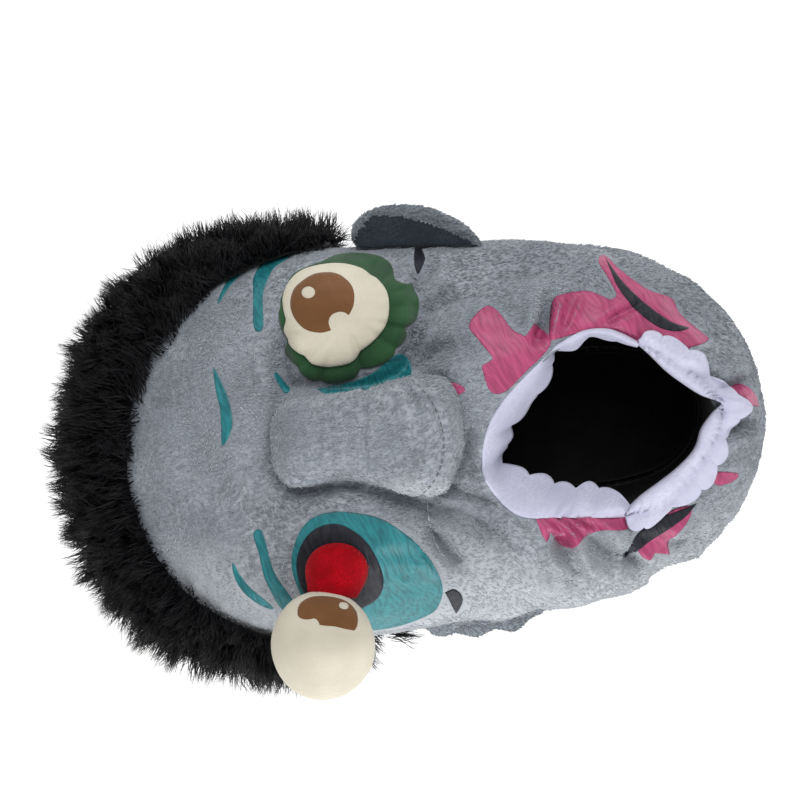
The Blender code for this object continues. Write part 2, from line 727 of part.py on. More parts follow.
def make_front_teeth():
    """A felt band sewn inside the collar's front edge, which hangs down into the opening."""
    columns, rows = 50, 4
    degrees, run = band_place(TEETH_FRONT_FROM, TEETH_FRONT_TO, columns)
    seam, outward = lip_skin(degrees, 1.0), collar_outward(degrees)
    ends = np.clip(np.minimum(run, run[-1] - run) / 0.020, 0.25, 1)
    length = TEETH_FRONT_LENGTH * ends * tooth_share(run)
    share = np.linspace(0, 1, rows)[:, None]
    drop = math.asin(TEETH_FRONT_DROP)
    step_in = (length * math.cos(drop)) * share + GAP + FELT_THICKNESS / 2
    step_down = (length * math.sin(drop)) * share**0.8
    plan = seam[:, :2] - outward * step_in[..., None]
    sheet = at_height(plan, seam[:, 2] - step_down)
    normals = grid_normals(sheet)
    half = FELT_THICKNESS / 2
    return two_sided("teeth_front", sheet + normals * half, sheet - normals * half, WHITE_FELT)


def rib_walk(turns, distances):
    """Points on the skin at distances from the lining's seam, up over the lip and out along the top."""
    degrees = direction_of(on_loop(HEAD_LOOP, turns))
    rows = [lining_skin(turns, share) for share in (0.16, 0.08)]
    rows += [lip_skin(degrees, share) for share in (1.0, 0.75, 0.5, 0.25, 0.0)]
    rows += [top_skin(turns, np.full(len(turns), share)) for share in np.linspace(0.95, 0.1, 18)]
    path = np.stack(rows, axis=1)
    steps = np.linalg.norm(np.diff(path, axis=1), axis=2)
    run = np.concatenate([np.zeros((len(turns), 1)), np.cumsum(steps, axis=1)], axis=1)
    run -= run[:, 2:3]
    walked = np.empty((distances.shape[0], len(turns), 3))
    for c in range(len(turns)):
        for axis in range(3):
            walked[:, c, axis] = np.interp(distances[:, c], run[c], path[c, :, axis])
    return walked


def make_rear_teeth():
    """A felt band sewn in the collar's heel side and turned out over the lip."""
    columns, rows = 38, 8
    degrees, run = band_place(TEETH_REAR_FROM, TEETH_REAR_TO, columns)
    turns = np.interp(degrees % 360, HEAD_DIRECTIONS[HEAD_ORDER], HEAD_ORDER / LOOP_STEPS, period=360)
    ends = np.clip(np.minimum(run, run[-1] - run) / 0.012, 0.45, 1)
    length = LIP_ROUND * 1.5 + TEETH_REAR_TURN * ends * tooth_share(run)
    share = np.linspace(0, 1, rows)[:, None]
    distances = -0.003 + (length + 0.003) * share
    skin = rib_walk(turns, distances)
    normals = grid_normals(skin)
    low = skin - normals * SEAT_GAP * 1.9
    return two_sided("teeth_rear", low, low - normals * FELT_THICKNESS, WHITE_FELT)


make_soles()
make_upper()
make_fur()
make_nose()
make_eye()
make_ball()
make_stalk()
for ear in EARS:
    make_ear(ear)
make_front_teeth()
make_rear_teeth()
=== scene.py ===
# %% [markdown]
# A plush slipper made as a monster's head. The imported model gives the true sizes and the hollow
# form; this script dresses it in cloth, fur and thread. The toe points to -X and the heel to +X.

import math

import bmesh
import bpy
import numpy as np
from mathutils import Matrix, Vector, geometry
from mathutils.bvhtree import BVHTree


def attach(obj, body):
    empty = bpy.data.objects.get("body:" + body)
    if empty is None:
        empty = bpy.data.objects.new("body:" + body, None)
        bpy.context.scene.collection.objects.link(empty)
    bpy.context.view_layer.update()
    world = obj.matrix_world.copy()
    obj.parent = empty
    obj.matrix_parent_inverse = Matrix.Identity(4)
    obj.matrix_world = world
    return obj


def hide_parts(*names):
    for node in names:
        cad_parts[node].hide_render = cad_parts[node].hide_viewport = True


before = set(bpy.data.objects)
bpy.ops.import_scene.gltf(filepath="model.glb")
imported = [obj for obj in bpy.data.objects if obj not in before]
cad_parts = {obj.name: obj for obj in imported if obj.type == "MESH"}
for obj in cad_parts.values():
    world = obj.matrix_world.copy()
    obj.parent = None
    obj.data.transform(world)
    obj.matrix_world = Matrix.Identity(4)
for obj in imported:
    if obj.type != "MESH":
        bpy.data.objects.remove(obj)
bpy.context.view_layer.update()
MM = 0.001
print("nodes:", ", ".join(sorted(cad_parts)))

# %% [markdown]
# The photo looks almost straight down, with the heel turned up a little in the picture. A long lens
# from more than a metre away keeps the head's proportions flat and true.

# %% Camera
PHOTO_ROLL = math.radians(5)
PHOTO_TILT = math.radians(1.5)
CAMERA_DISTANCE = 1.105
LOOK_AT = Vector((-0.0135, 0.0187, 0.045))
FRAME_WIDTH = 0.400

camera = bpy.data.cameras.new("photo_camera")
camera.sensor_width = 36
camera.lens = camera.sensor_width * CAMERA_DISTANCE / FRAME_WIDTH
camera_object = bpy.data.objects.new("photo_camera", camera)
bpy.context.scene.collection.objects.link(camera_object)
camera_place = LOOK_AT + Vector((0, math.sin(PHOTO_TILT), math.cos(PHOTO_TILT))) * CAMERA_DISTANCE
ahead = (LOOK_AT - camera_place).normalized()
to_right = Vector((math.cos(PHOTO_ROLL), -math.sin(PHOTO_ROLL), 0))
to_right = (to_right - ahead * to_right.dot(ahead)).normalized()
to_top = to_right.cross(ahead)
turn = Matrix((to_right, to_top, -ahead)).transposed()
camera_object.matrix_world = Matrix.Translation(camera_place) @ turn.to_4x4()
bpy.context.scene.camera = camera_object
print("lens", round(camera.lens, 1), "mm")

# %% [markdown]
# Two helpers serve every finish: one turns a hex colour into the linear values that shaders take,
# and one adds a shader node with its settings and links.


# %% Colour and shader helpers
def linear(hex_colour):
    """An sRGB hex colour as linear RGBA."""
    channels = [int(hex_colour[i : i + 2], 16) / 255 for i in (1, 3, 5)]
    return (*[c / 12.92 if c <= 0.04045 else ((c + 0.055) / 1.055) ** 2.4 for c in channels], 1.0)


def add(tree, kind, inputs=None, **settings):
    """Adds a shader node; inputs are values, or sockets to link."""
    made = tree.nodes.new(kind)
    for name, value in settings.items():
        setattr(made, name, value)
    for name, value in (inputs or {}).items():
        if isinstance(value, bpy.types.NodeSocket):
            tree.links.new(value, made.inputs[name])
        else:
            made.inputs[name].default_value = value
    return made


def new_material(name, roughness, specular=0.3, ior=1.5):
    """A material with its Principled shader and its object coordinates, in metres."""
    made = bpy.data.materials.new(name)
    made.use_nodes = True
    tree = made.node_tree
    shader = tree.nodes["Principled BSDF"]
    shader.inputs["Roughness"].default_value = roughness
    shader.inputs["Specular IOR Level"].default_value = specular
    shader.inputs["IOR"].default_value = ior
    place = add(tree, "ShaderNodeTexCoord").outputs["Object"]
    return made, tree, shader, place


def noise(tree, place, size_mm, stretch=(1, 1, 1), turn=(0, 0, 0), detail=3.0):
    """Noise whose grains are size_mm long, turned, and squeezed by stretch along each axis."""
    scale = tuple(size_mm * MM / s for s in stretch)
    inputs = {"Vector": place, "Rotation": turn, "Scale": scale}
    mapping = add(tree, "ShaderNodeMapping", inputs, vector_type="TEXTURE")
    grain = add(tree, "ShaderNodeTexNoise", {"Vector": mapping.outputs[0], "Scale": 1.0, "Detail": detail})
    return grain.outputs["Fac"]


def spread(tree, value, low, high):
    """Stretches a value that runs from low to high so that it runs from 0 to 1."""
    inputs = {"Value": value, "From Min": low, "From Max": high}
    return add(tree, "ShaderNodeMapRange", inputs).outputs[0]


def mix(tree, share, first, second):
    inputs = {0: share, 6: first, 7: second}
    return add(tree, "ShaderNodeMix", inputs, data_type="RGBA").outputs[2]


def warped(tree, place, scale, shift):
    """The place moved about by soft noise, by up to shift metres."""
    stray = add(tree, "ShaderNodeTexNoise", {"Vector": place, "Scale": scale, "Detail": 1.0}).outputs["Color"]
    moved = add(tree, "ShaderNodeVectorMath", {0: stray, 1: (shift,) * 3}, operation="MULTIPLY").outputs[0]
    return add(tree, "ShaderNodeVectorMath", {0: place, 1: moved}).outputs[0]


def scaled(tree, value, factor):
    return add(tree, "ShaderNodeMath", {0: value, 1: factor}, operation="MULTIPLY").outputs[0]


def bump(tree, shader, height, distance_mm, strength=1.0, under=None):
    inputs = {"Height": height, "Distance": distance_mm * MM, "Strength": strength}
    if under is not None:
        inputs["Normal"] = under
    made = add(tree, "ShaderNodeBump", inputs)
    tree.links.new(made.outputs[0], shader.inputs["Normal"])
    return made.outputs[0]


# %% [markdown]
# The head is polyester minky: a knitted cloth with a dense brushed pile about 2 mm long. Each lock
# of the pile lies its own way, so the cloth shows pale and dark flecks and wide brushed patches.


# %% Grey plush
NAP_FLECK_MM = 2.2
BRUSHED_PATCH_MM = 42
LOCK_TO_FLECK = 2.2
LIT_LOCKS = 0.55
# Painted light: the settings below make the plush paler on its side towards the front lamp.
PAINTED_LIGHT_WANDER_MM = 45
PAINTED_LIGHT_WANDER = 0.03
PAINTED_LIGHT_PALEST = 0.62
PAINTED_LIGHT_PALE = "#C3C7CC"
HEAD_PAINTED_LIGHT = (-0.014, -0.078)
NOSE_PAINTED_LIGHT = (0.010, -0.019)


def painted_light_towards_front(tree, place, start, end):
    """Painted light: the plush is painted paler from one level of Y down to another, towards the front lamp.
    """
    height = add(tree, "ShaderNodeSeparateXYZ", {0: place}).outputs["Y"]
    wander = noise(tree, place, PAINTED_LIGHT_WANDER_MM, detail=2)
    shift = spread(tree, wander, 0.3, 0.7)
    moved = add(tree, "ShaderNodeMath", {0: shift, 1: PAINTED_LIGHT_WANDER, 2: height}, operation="MULTIPLY_ADD")
    inputs = {"Value": moved.outputs[0], "From Min": start, "From Max": end, "To Max": PAINTED_LIGHT_PALEST}
    return add(tree, "ShaderNodeMapRange", inputs, interpolation_type="SMOOTHSTEP").outputs[0]


def plush(name, dark, middle, pale, turned, turn=math.radians(8)):
    made, tree, shader, place = new_material(name, roughness=0.95, specular=0.10)
    combed = warped(tree, place, 30.0, 0.012)
    way = (0, 0, turn)
    fleck = noise(tree, combed, NAP_FLECK_MM, (1.0, 3.6, 2.4), way, detail=5)
    lock = noise(tree, combed, NAP_FLECK_MM * LOCK_TO_FLECK, (1.0, 2.2, 1.6), way, detail=2)
    brushed_way = noise(tree, place, BRUSHED_PATCH_MM, detail=2)
    colour = mix(tree, spread(tree, fleck, 0.36, 0.66), linear(dark), linear(middle))
    locks = spread(tree, lock, 0.40, 0.66)
    wide = spread(tree, brushed_way, 0.38, 0.66)
    lit = scaled(tree, scaled(tree, locks, wide), LIT_LOCKS)
    colour = mix(tree, lit, colour, linear(pale))
    # Painted light: the plush turns paler towards the front lamp's side.
    if turned:
        colour = mix(tree, painted_light_towards_front(tree, place, *turned), colour, linear(PAINTED_LIGHT_PALE))
    tree.links.new(colour, shader.inputs["Base Color"])
    shader.inputs["Sheen Weight"].default_value = 0.22
    shader.inputs["Sheen Roughness"].default_value = 0.5
    shader.inputs["Sheen Tint"].default_value = linear("#DDE1E3")
    deep = bump(tree, shader, lock, 0.9, 0.6)
    bump(tree, shader, fleck, 0.5, 0.9, under=deep)
    return made


GREY_PLUSH = plush("minky_plush_grey", "#6E757D", "#8F949D", "#B8BDC5", HEAD_PAINTED_LIGHT)
# The nose's copy differs only in where its painted light falls.
NOSE_PLUSH = plush("minky_plush_nose", "#6E757D", "#8F949D", "#B8BDC5", NOSE_PAINTED_LIGHT)
# Painted shade: the ears' plush is the head's grey painted darker.
SHADED_EAR_PLUSH = plush("shaded_minky_plush_ears", "#565D65", "#7F868F", "#A0A6AE", None)

# %% [markdown]
# The printed patches are satin-smooth foil prints pressed flat into the pile. They wrinkle in fine
# lines where the stuffing pulls the cloth, and shine softly.


# %% Pressed prints
WRINKLE_MM = 13.0
RUB_MM = 2.5


def pressed_print(name, colour, wrinkle_shade, wrinkle_turn, gloss=0.40):
    made, tree, shader, place = new_material(name, roughness=0.45, specular=gloss)
    pulled = warped(tree, place, 55.0, 0.009)
    wrinkle = noise(tree, pulled, WRINKLE_MM, (1.0, 8.0, 4.0), (0, 0, math.radians(wrinkle_turn)), detail=3)
    rub = noise(tree, place, RUB_MM, detail=4)
    # Painted shade: the darker colour fills the wrinkles' troughs.
    shade = mix(tree, spread(tree, wrinkle, 0.34, 0.62), linear(wrinkle_shade), linear(colour))
    tree.links.new(shade, shader.inputs["Base Color"])
    soft = bump(tree, shader, wrinkle, 0.8, 0.7)
    bump(tree, shader, rub, 0.15, 0.5, under=soft)
    return made


TEAL_PRINT = pressed_print("teal_satin_print", "#217B82", "#165F66", -68)
PINK_PRINT = pressed_print("pink_satin_print", "#AE4670", "#92375B", -62)
SLATE_PRINT = pressed_print("slate_satin_print", "#2A2B33", "#1D1E24", -80, gloss=0.2)

# %% [markdown]
# The eyes are stuffed discs of a plain woven cloth, with a thread of about 0.8 mm.


# %% Woven cloth for the eyes
THREAD_MM = 0.8
WAVE_STEP = math.pi / 10
SOIL_MM = 18


def woven(name, colour, shade_colour):
    made, tree, shader, place = new_material(name, roughness=0.85, specular=0.2)
    tilt = (math.radians(12), math.radians(-9), math.radians(14))
    mapping = add(tree, "ShaderNodeMapping", {"Vector": place, "Rotation": tilt})
    threads = []
    for direction in ("X", "Y"):
        inputs = {"Vector": mapping.outputs[0], "Scale": WAVE_STEP / (THREAD_MM * MM), "Distortion": 0.8}
        wave = add(tree, "ShaderNodeTexWave", inputs, bands_direction=direction)
        threads.append(wave.outputs["Fac"])
    weave = scaled(tree, *threads)
    soil = noise(tree, place, SOIL_MM, detail=3)
    base = mix(tree, spread(tree, soil, 0.35, 0.7), linear(shade_colour), linear(colour))
    cloth = mix(tree, spread(tree, weave, -0.5, 0.5), linear(shade_colour), base)
    tree.links.new(cloth, shader.inputs["Base Color"])
    shader.inputs["Sheen Weight"].default_value = 0.15
    bump(tree, shader, weave, 0.16, 0.7)
    return made


CREAM_CLOTH = woven("woven_cotton_cream", "#D3CDBC", "#C6BFAD")
GREEN_CLOTH = woven("woven_cotton_green", "#2F5A36", "#1E3F26")
BROWN_PRINT = woven("brown_printed_cotton", "#7C5331", "#674425")

# %% [markdown]
# The teeth are brushed white felt, the stalk is red fleece, the lining is black brushed tricot.


# %% Felt, fleece and lining
def brushed(name, colour, shade_colour, fibre_mm, sheen, depth_mm, streak=1.7):
    made, tree, shader, place = new_material(name, roughness=0.95, specular=0.1)
    fibre = noise(tree, place, fibre_mm, (1.0, streak, 1.0), (0, 0, 0.5), detail=5)
    cloud = noise(tree, place, fibre_mm * 9, detail=2)
    share = spread(tree, fibre, 0.34, 0.62)
    colour_mix = mix(tree, share, linear(shade_colour), linear(colour))
    wide = spread(tree, cloud, 0.30, 0.62)
    tree.links.new(mix(tree, wide, linear(shade_colour), colour_mix), shader.inputs["Base Color"])
    shader.inputs["Sheen Weight"].default_value = sheen
    shader.inputs["Sheen Roughness"].default_value = 0.5
    bump(tree, shader, fibre, depth_mm, 0.8)
    return made


WHITE_FELT = brushed("brushed_felt_white", "#CBCBDD", "#B7B7CD", 2.4, 0.06, 0.30, streak=5.0)
RED_FLEECE = brushed("brushed_fleece_red", "#BE061A", "#8E0412", 1.3, 0.04, 0.6)
BLACK_LINING = brushed("brushed_tricot_black", "#151517", "#0B0B0C", 1.2, 0.25, 0.3)
INNER_EAR = brushed("short_plush_slate", "#3C444C", "#2A3037", 1.5, 0.15, 0.5)

# %% [markdown]
# The crown's fur is black modacrylic: strands that shine a little along their length, over a dark
# knitted backing.

# %% Fur
FUR_STRAND, fur_tree, fur_shader, fur_place = new_material("faux_fur_black", roughness=0.45, specular=0.22)
tip_tone = noise(fur_tree, fur_place, 7, detail=3)
fur_colour = mix(fur_tree, spread(fur_tree, tip_tone, 0.35, 0.7), linear("#060608"), linear("#101015"))
fur_tree.links.new(fur_colour, fur_shader.inputs["Base Color"])
FUR_BACKING = brushed("knitted_fur_backing", "#0E0E11", "#070708", 3.0, 0.1, 0.8)

# %% [markdown]
# The outsole is thin foam under a black non-slip cloth with printed rubber dots.

# %% Sole cloth
DOT_PITCH_MM = 5.0
SOLE_CLOTH, sole_tree, sole_shader, sole_place = new_material(
    "dotted_sole_cloth", roughness=0.85, specular=0.25
)
dot_map = add(sole_tree, "ShaderNodeMapping", {"Vector": sole_place, "Scale": (1000 / DOT_PITCH_MM,) * 3})
dots = add(
    sole_tree,
    "ShaderNodeTexVoronoi",
    {"Vector": dot_map.outputs[0], "Scale": 1.0, "Randomness": 0.0},
    voronoi_dimensions="2D",
)
dot = add(
    sole_tree,
    "ShaderNodeMapRange",
    {"Value": dots.outputs["Distance"], "From Min": 0.27, "From Max": 0.20},
    interpolation_type="SMOOTHSTEP",
).outputs[0]
sole_colour = mix(sole_tree, dot, linear("#18181A"), linear("#2C2C30"))
sole_tree.links.new(sole_colour, sole_shader.inputs["Base Color"])
knit = bump(sole_tree, sole_shader, noise(sole_tree, sole_place, 0.9, detail=3), 0.3, 0.7)
bump(sole_tree, sole_shader, dot, 0.8, 1.0, under=knit)

# %% [markdown]
# Soft parts start from the imported solids. Their triangles are joined back to four-sided faces and
# subdivided, which rounds them off, and the folds are pushed in afterwards.


# %% Mesh helpers
def make_piece(name, points, faces, *materials):
    """A smooth-shaded object from plain points and faces, riding on the slipper's one body."""
    mesh = bpy.data.meshes.new(name)
    mesh.from_pydata([tuple(p) for p in points], [], [list(f) for f in faces])
    for look in materials:
        mesh.materials.append(look)
    mesh.shade_smooth()
    made = bpy.data.objects.new(name, mesh)
    bpy.context.scene.collection.objects.link(made)
    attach(made, "root")
    return made


def quick_mesh(name, points, faces, look):
    """A piece from many small triangles at once."""
    mesh = bpy.data.meshes.new(name)
    mesh.vertices.add(len(points))
    mesh.vertices.foreach_set("co", points.reshape(-1))
    mesh.loops.add(faces.size)
    mesh.loops.foreach_set("vertex_index", faces.reshape(-1))
    mesh.polygons.add(len(faces))
    mesh.polygons.foreach_set("loop_start", np.arange(0, faces.size, 3))
    mesh.update(calc_edges=True)
    mesh.materials.append(look)
    made = bpy.data.objects.new(name, mesh)
    bpy.context.scene.collection.objects.link(made)
    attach(made, "root")
    return made


def applied(thing, kind, **settings):
    """Adds a modifier and puts its result into the mesh."""
    change = thing.modifiers.new(kind.lower(), kind)
    for name, value in settings.items():
        setattr(change, name, value)
    graph = bpy.context.evaluated_depsgraph_get()
    thing.data = bpy.data.meshes.new_from_object(thing.evaluated_get(graph))
    thing.modifiers.clear()


def smooth_copy(node, name, levels, *materials):
    """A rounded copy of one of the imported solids."""
    cage = bmesh.new()
    cage.from_mesh(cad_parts[node].data)
    bmesh.ops.remove_doubles(cage, verts=cage.verts, dist=0.00001)
    bmesh.ops.join_triangles(
        cage,
        faces=cage.faces,
        angle_face_threshold=math.pi,
        angle_shape_threshold=math.pi,
    )
    mesh = bpy.data.meshes.new(name)
    cage.to_mesh(mesh)
    cage.free()
    made = bpy.data.objects.new(name, mesh)
    bpy.context.scene.collection.objects.link(made)
    applied(made, "SUBSURF", levels=levels, render_levels=levels)
    made.data.materials.clear()
    for look in materials:
        made.data.materials.append(look)
    made.data.shade_smooth()
    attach(made, "root")
    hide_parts(node)
    return made


def points_of(thing):
    flat = np.empty(len(thing.data.vertices) * 3)
    thing.data.vertices.foreach_get("co", flat)
    return flat.reshape(-1, 3)


def normals_of(thing):
    flat = np.empty(len(thing.data.vertices) * 3)
    thing.data.vertices.foreach_get("normal", flat)
    return flat.reshape(-1, 3)


def set_points(thing, points):
    thing.data.vertices.foreach_set("co", np.asarray(points, float).ravel())
    thing.data.update()


def unit(rows):
    """Each row at a length of one."""
    return rows / (np.linalg.norm(rows, axis=1)[:, None] + 1e-12)


def triangles_of(thing):
    """Corner numbers, corners and cross products of a piece's triangles."""
    thing.data.calc_loop_triangles()
    trio = np.array([t.vertices[:] for t in thing.data.loop_triangles])
    corners = points_of(thing)[trio]
    return trio, corners, np.cross(corners[:, 1] - corners[:, 0], corners[:, 2] - corners[:, 0])


def scatter(corners, cross, weight, count, dice):
    """Random places on triangles, more of them where weight is larger, and the skin's normals."""
    picked = dice.choice(len(corners), count, p=weight / weight.sum())
    u, v = dice.random(count), dice.random(count)
    flip = u + v > 1
    u[flip], v[flip] = 1 - u[flip], 1 - v[flip]
    a, b, c = corners[picked].transpose(1, 0, 2)
    return a + (b - a) * u[:, None] + (c - a) * v[:, None], unit(cross[picked])


def skin_tree(thing):
    """A tree for casting rays at a piece."""
    shell = bmesh.new()
    shell.from_mesh(thing.data)
    tree = BVHTree.FromBMesh(shell)
    shell.free()
    return tree


def face_outward(thing):
    tidy = bmesh.new()
    tidy.from_mesh(thing.data)
    bmesh.ops.recalc_face_normals(tidy, faces=tidy.faces)
    tidy.to_mesh(thing.data)
    tidy.free()


def triangles(thing):
    return sum(len(face.vertices) - 2 for face in thing.data.polygons)


# %% [markdown]
# Outlines are given in plan, in millimetres, through a few listed points. A point with a third
# value is a sharp corner; everywhere else the line runs smoothly.


# %% Line helpers
def smooth_line(points, closed=True, steps=6):
    """A smooth line through plan points in millimetres, returned in metres."""
    plain = np.array([p[:2] for p in points], float) * MM
    sharp = [len(p) > 2 for p in points]
    count = len(points)
    tangents = []
    for i in range(count):
        before = plain[(i - 1) % count] if closed or i else plain[i]
        after = plain[(i + 1) % count] if closed or i < count - 1 else plain[i]
        tangents.append(np.zeros(2) if sharp[i] else (after - before) / 2)
    line = []
    for i in range(count if closed else count - 1):
        j = (i + 1) % count
        for t in np.arange(steps) / steps:
            h00, h10 = 2 * t**3 - 3 * t**2 + 1, t**3 - 2 * t**2 + t
            h01, h11 = 3 * t**2 - 2 * t**3, t**3 - t**2
            line.append(h00 * plain[i] + h10 * tangents[i] + h01 * plain[j] + h11 * tangents[j])
    if not closed:
        line.append(plain[-1])
    return np.array(line)


def evenly(line, count, closed=True):
    """The same line as count points at equal steps."""
    ring = np.vstack([line, line[:1]]) if closed else line
    run = np.concatenate([[0], np.cumsum(np.linalg.norm(np.diff(ring, axis=0), axis=1))])
    marks = np.linspace(0, run[-1], count + 1)[:-1] if closed else np.linspace(0, run[-1], count)
    return np.column_stack([np.interp(marks, run, ring[:, k]) for k in range(ring.shape[1])])


def brush_mark(points, widths):
    """The outline of a painted band: points along its middle and its width at each, in millimetres."""
    middle = np.array(points, float)
    along = np.gradient(middle, axis=0)
    along /= np.linalg.norm(along, axis=1)[:, None]
    side = np.column_stack([-along[:, 1], along[:, 0]]) * np.array(widths)[:, None] / 2
    left, right = middle + side, middle - side
    return [tuple(p) for p in left] + [tuple(p) for p in right[::-1]]


def distance_to(places, line, closed):
    """How far each place is from a line, and how far along the line, 0 to 1, its nearest point is."""
    ends = np.vstack([line[1:], line[:1]]) if closed else line[1:]
    starts = line if closed else line[:-1]
    best = np.full(len(places), 1e9)
    share = np.zeros(len(places))
    for i, (a, b) in enumerate(zip(starts, ends)):
        step = b - a
        t = np.clip(((places - a) @ step) / max(step @ step, 1e-12), 0, 1)
        gap = np.linalg.norm(places - a - t[:, None] * step, axis=1)
        nearer = gap < best
        best[nearer] = gap[nearer]
        share[nearer] = (i + t[nearer]) / len(starts)
    return best, share


def is_within(places, loop):
    """True for each place that lies inside a closed line."""
    inside = np.zeros(len(places), bool)
    for a, b in zip(loop, np.roll(loop, -1, axis=0)):
        crosses = (a[1] > places[:, 1]) != (b[1] > places[:, 1])
        reach = (b[0] - a[0]) * (places[:, 1] - a[1]) / (b[1] - a[1] + 1e-15) + a[0]
        inside ^= crosses & (places[:, 0] < reach)
    return inside


def lumps(points, size_mm, seed):
    """Soft unevenness between -1 and 1, with humps about size_mm apart."""
    dice = np.random.default_rng(seed)
    total = np.zeros(len(points))
    for _ in range(7):
        way = dice.normal(size=3)
        way *= 2 * math.pi / (size_mm * MM * np.linalg.norm(way)) * dice.uniform(0.6, 1.5)
        total += np.sin(points @ way + dice.uniform(0, 6.28))
    return total / 3.5


# %% [markdown]
# The printed shapes, in plan: torn flesh round the mouth, worry lines on the brow, the shadows round
# the eyes, and small folds by the ears.

# %% Outlines of the prints
FLESH_PRINTS = {
    "flesh_brow_side": [
        (31, 61), (22, 53), (26, 45), (32, 36, 1), (26, 33, 1), (29, 21), (36, 20), (46, 28),
        (60, 41), (53, 51, 1), (48, 45, 1), (42, 49), (37, 57),
    ],
    "flesh_cheek": [
        (62, 58), (66, 63), (80, 64), (90, 59, 1), (94, 61), (91, 70), (88, 78), (92, 81), (98, 73),
        (110, 62), (122, 57), (125, 49), (138, 36, 1), (133, 34), (120, 33), (103, 37), (86, 44),
        (72, 44), (59, 42, 1),
    ],
    "flesh_spot": [(6, 24.5), (11, 26.5), (16, 24.5), (17, 22), (11, 19.5), (7, 21)],
    "flesh_heel": [(145, 12), (151, 13), (155, 11), (160, 6), (161, 1, 1), (157, 2), (150, 8)],
    "flesh_chin": [
        (46, -37), (60, -39), (91, -44), (91, -48), (88, -51), (78, -50), (69, -52), (63, -57),
        (58, -57, 1), (54, -52), (52, -48, 1), (50, -53), (47, -46),
    ],
    "flesh_jaw": [
        (121, -43), (119, -50), (110, -59), (110, -66, 1), (102, -64, 1), (99, -67), (95, -64),
        (94, -59), (101, -51), (111, -44),
    ],
    "flesh_tab": [(133, -28), (143, -29), (147, -31), (142, -34), (134, -34)],
    "flesh_fleck": [(120, 36), (124, 35.5), (127, 33), (122, 32)],
}
SLIT_PRINTS = {
    "slit_cheek": [
        (92, 79, 1), (96, 70), (103, 60), (112, 51), (120, 45), (128, 42, 1), (121, 41), (112, 44),
        (102, 53), (95, 65),
    ],
    "slit_jaw": [
        (124, -42, 1), (116, -44), (105, -47), (96, -52), (90, -59), (88, -66, 1), (94, -61.5),
        (101, -57), (109.5, -52.5), (118, -47.5),
    ],
}
BROW_PRINTS = {
    "brow_a": brush_mark([(-82, 92), (-87, 87), (-92, 81), (-96, 74)], (1.2, 3.0, 2.4, 0.8)),
    "brow_b": brush_mark([
        (-62, 95), (-70, 91), (-75, 84), (-76.5, 75), (-77, 60),
    ], (3.5, 6.0, 7.0, 4.6, 4.4)),
    "brow_c": brush_mark([
        (-100, 42), (-98, 33), (-96, 24), (-96, 15), (-98.5, 7),
    ], (0.8, 4.0, 5.2, 5.2, 1.6)),
    "brow_d": brush_mark([(-71, 38), (-69, 34), (-66, 29)], (1.4, 2.6, 3.0)),
    "brow_e": brush_mark([(-86, -36), (-84, -46), (-82, -58), (-75, -74)], (4.2, 4.4, 5.4, 6.5)),
    "brow_f": brush_mark([
        (-99.5, -51), (-98, -57), (-94, -64), (-87, -71), (-83, -74),
    ], (1.0, 3.0, 4.0, 3.4, 0.8)),
}
EYE_PRINTS = {
    "under_eye": [
        (-52, 29, 1), (-45, 25), (-32, 24), (-20, 25), (-9, 29), (-7, 37), (-11, 42), (-17, 40),
        (-24, 35), (-33, 31.5), (-43, 30),
    ],
    "socket": [
        (-71, -57), (-70, -46), (-65, -36), (-58, -30.5), (-48, -29), (-37, -31), (-26, -35),
        (-14, -45), (-7, -54), (-3, -62), (-1, -72), (-4, -81), (-9, -85), (-20, -89), (-35, -91),
        (-52, -88), (-65, -76),
    ],
}
RING_PRINTS = {
    "ring": [
        (-69, -56), (-67, -46), (-61, -38), (-52, -34.5), (-43, -37), (-34, -46), (-29, -60),
        (-30, -69), (-36, -75), (-50, -79), (-65, -70),
    ],
    "ear_fold_top": [(0, 92, 1), (3.5, 92, 1), (4.5, 86), (0, 79, 1), (-1, 85)],
    "ear_fold_low": [(0, -73.5, 1), (4, -72), (7.5, -75), (8, -80), (4.5, -86, 1), (2, -79)],
}
ALL_PRINTS = {**FLESH_PRINTS, **SLIT_PRINTS, **BROW_PRINTS, **EYE_PRINTS, **RING_PRINTS}
print(len(ALL_PRINTS), "printed shapes")

# %% [markdown]
# The head is one stuffed shell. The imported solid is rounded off, and its upper skin is divided once
# more, fine enough for folds. Faces that look at the foot get the black lining.

# %% Head, smoothed
COLLAR_X = 0.088
UPPER_SKIN_Z = 0.055
FOOT_ENDS = (-0.095, 0.1)
FOOT_MIDDLE_Z = 0.035
LINING_SHARE = 0.6
head = smooth_copy("upper", "head_plush", 2, GREY_PLUSH, BLACK_LINING)
shell = bmesh.new()
shell.from_mesh(head.data)
outer = [f for f in shell.faces if f.calc_center_median().z > UPPER_SKIN_Z and f.normal.z > -0.05]
edges = {e for f in outer for e in f.edges}
bmesh.ops.subdivide_edges(shell, edges=list(edges), cuts=1, use_grid_fill=True)
shell.to_mesh(head.data)
shell.free()
head.data.shade_smooth()
skin = points_of(head)
skin_normals = normals_of(head)


def faces_foot(places, normals):
    """True where the skin looks at the foot, so that it is lining and not plush."""
    middle = np.zeros((len(places), 3))
    middle[:, 0] = np.clip(places[:, 0], *FOOT_ENDS)
    middle[:, 2] = FOOT_MIDDLE_Z
    near_top = places[:, 2] > 0.06
    middle[near_top, 0] += 0.25 * (COLLAR_X - middle[near_top, 0])
    return ((places - middle) * normals).sum(axis=1) < 0


is_lining = faces_foot(skin, skin_normals)
for face in head.data.polygons:
    face.material_index = int(is_lining[list(face.vertices)].mean() > LINING_SHARE)
print("head", triangles(head), "triangles")

# %% [markdown]
# The stuffing crowds in over the mouth on its near side, so the collar is a little narrower there
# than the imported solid's.

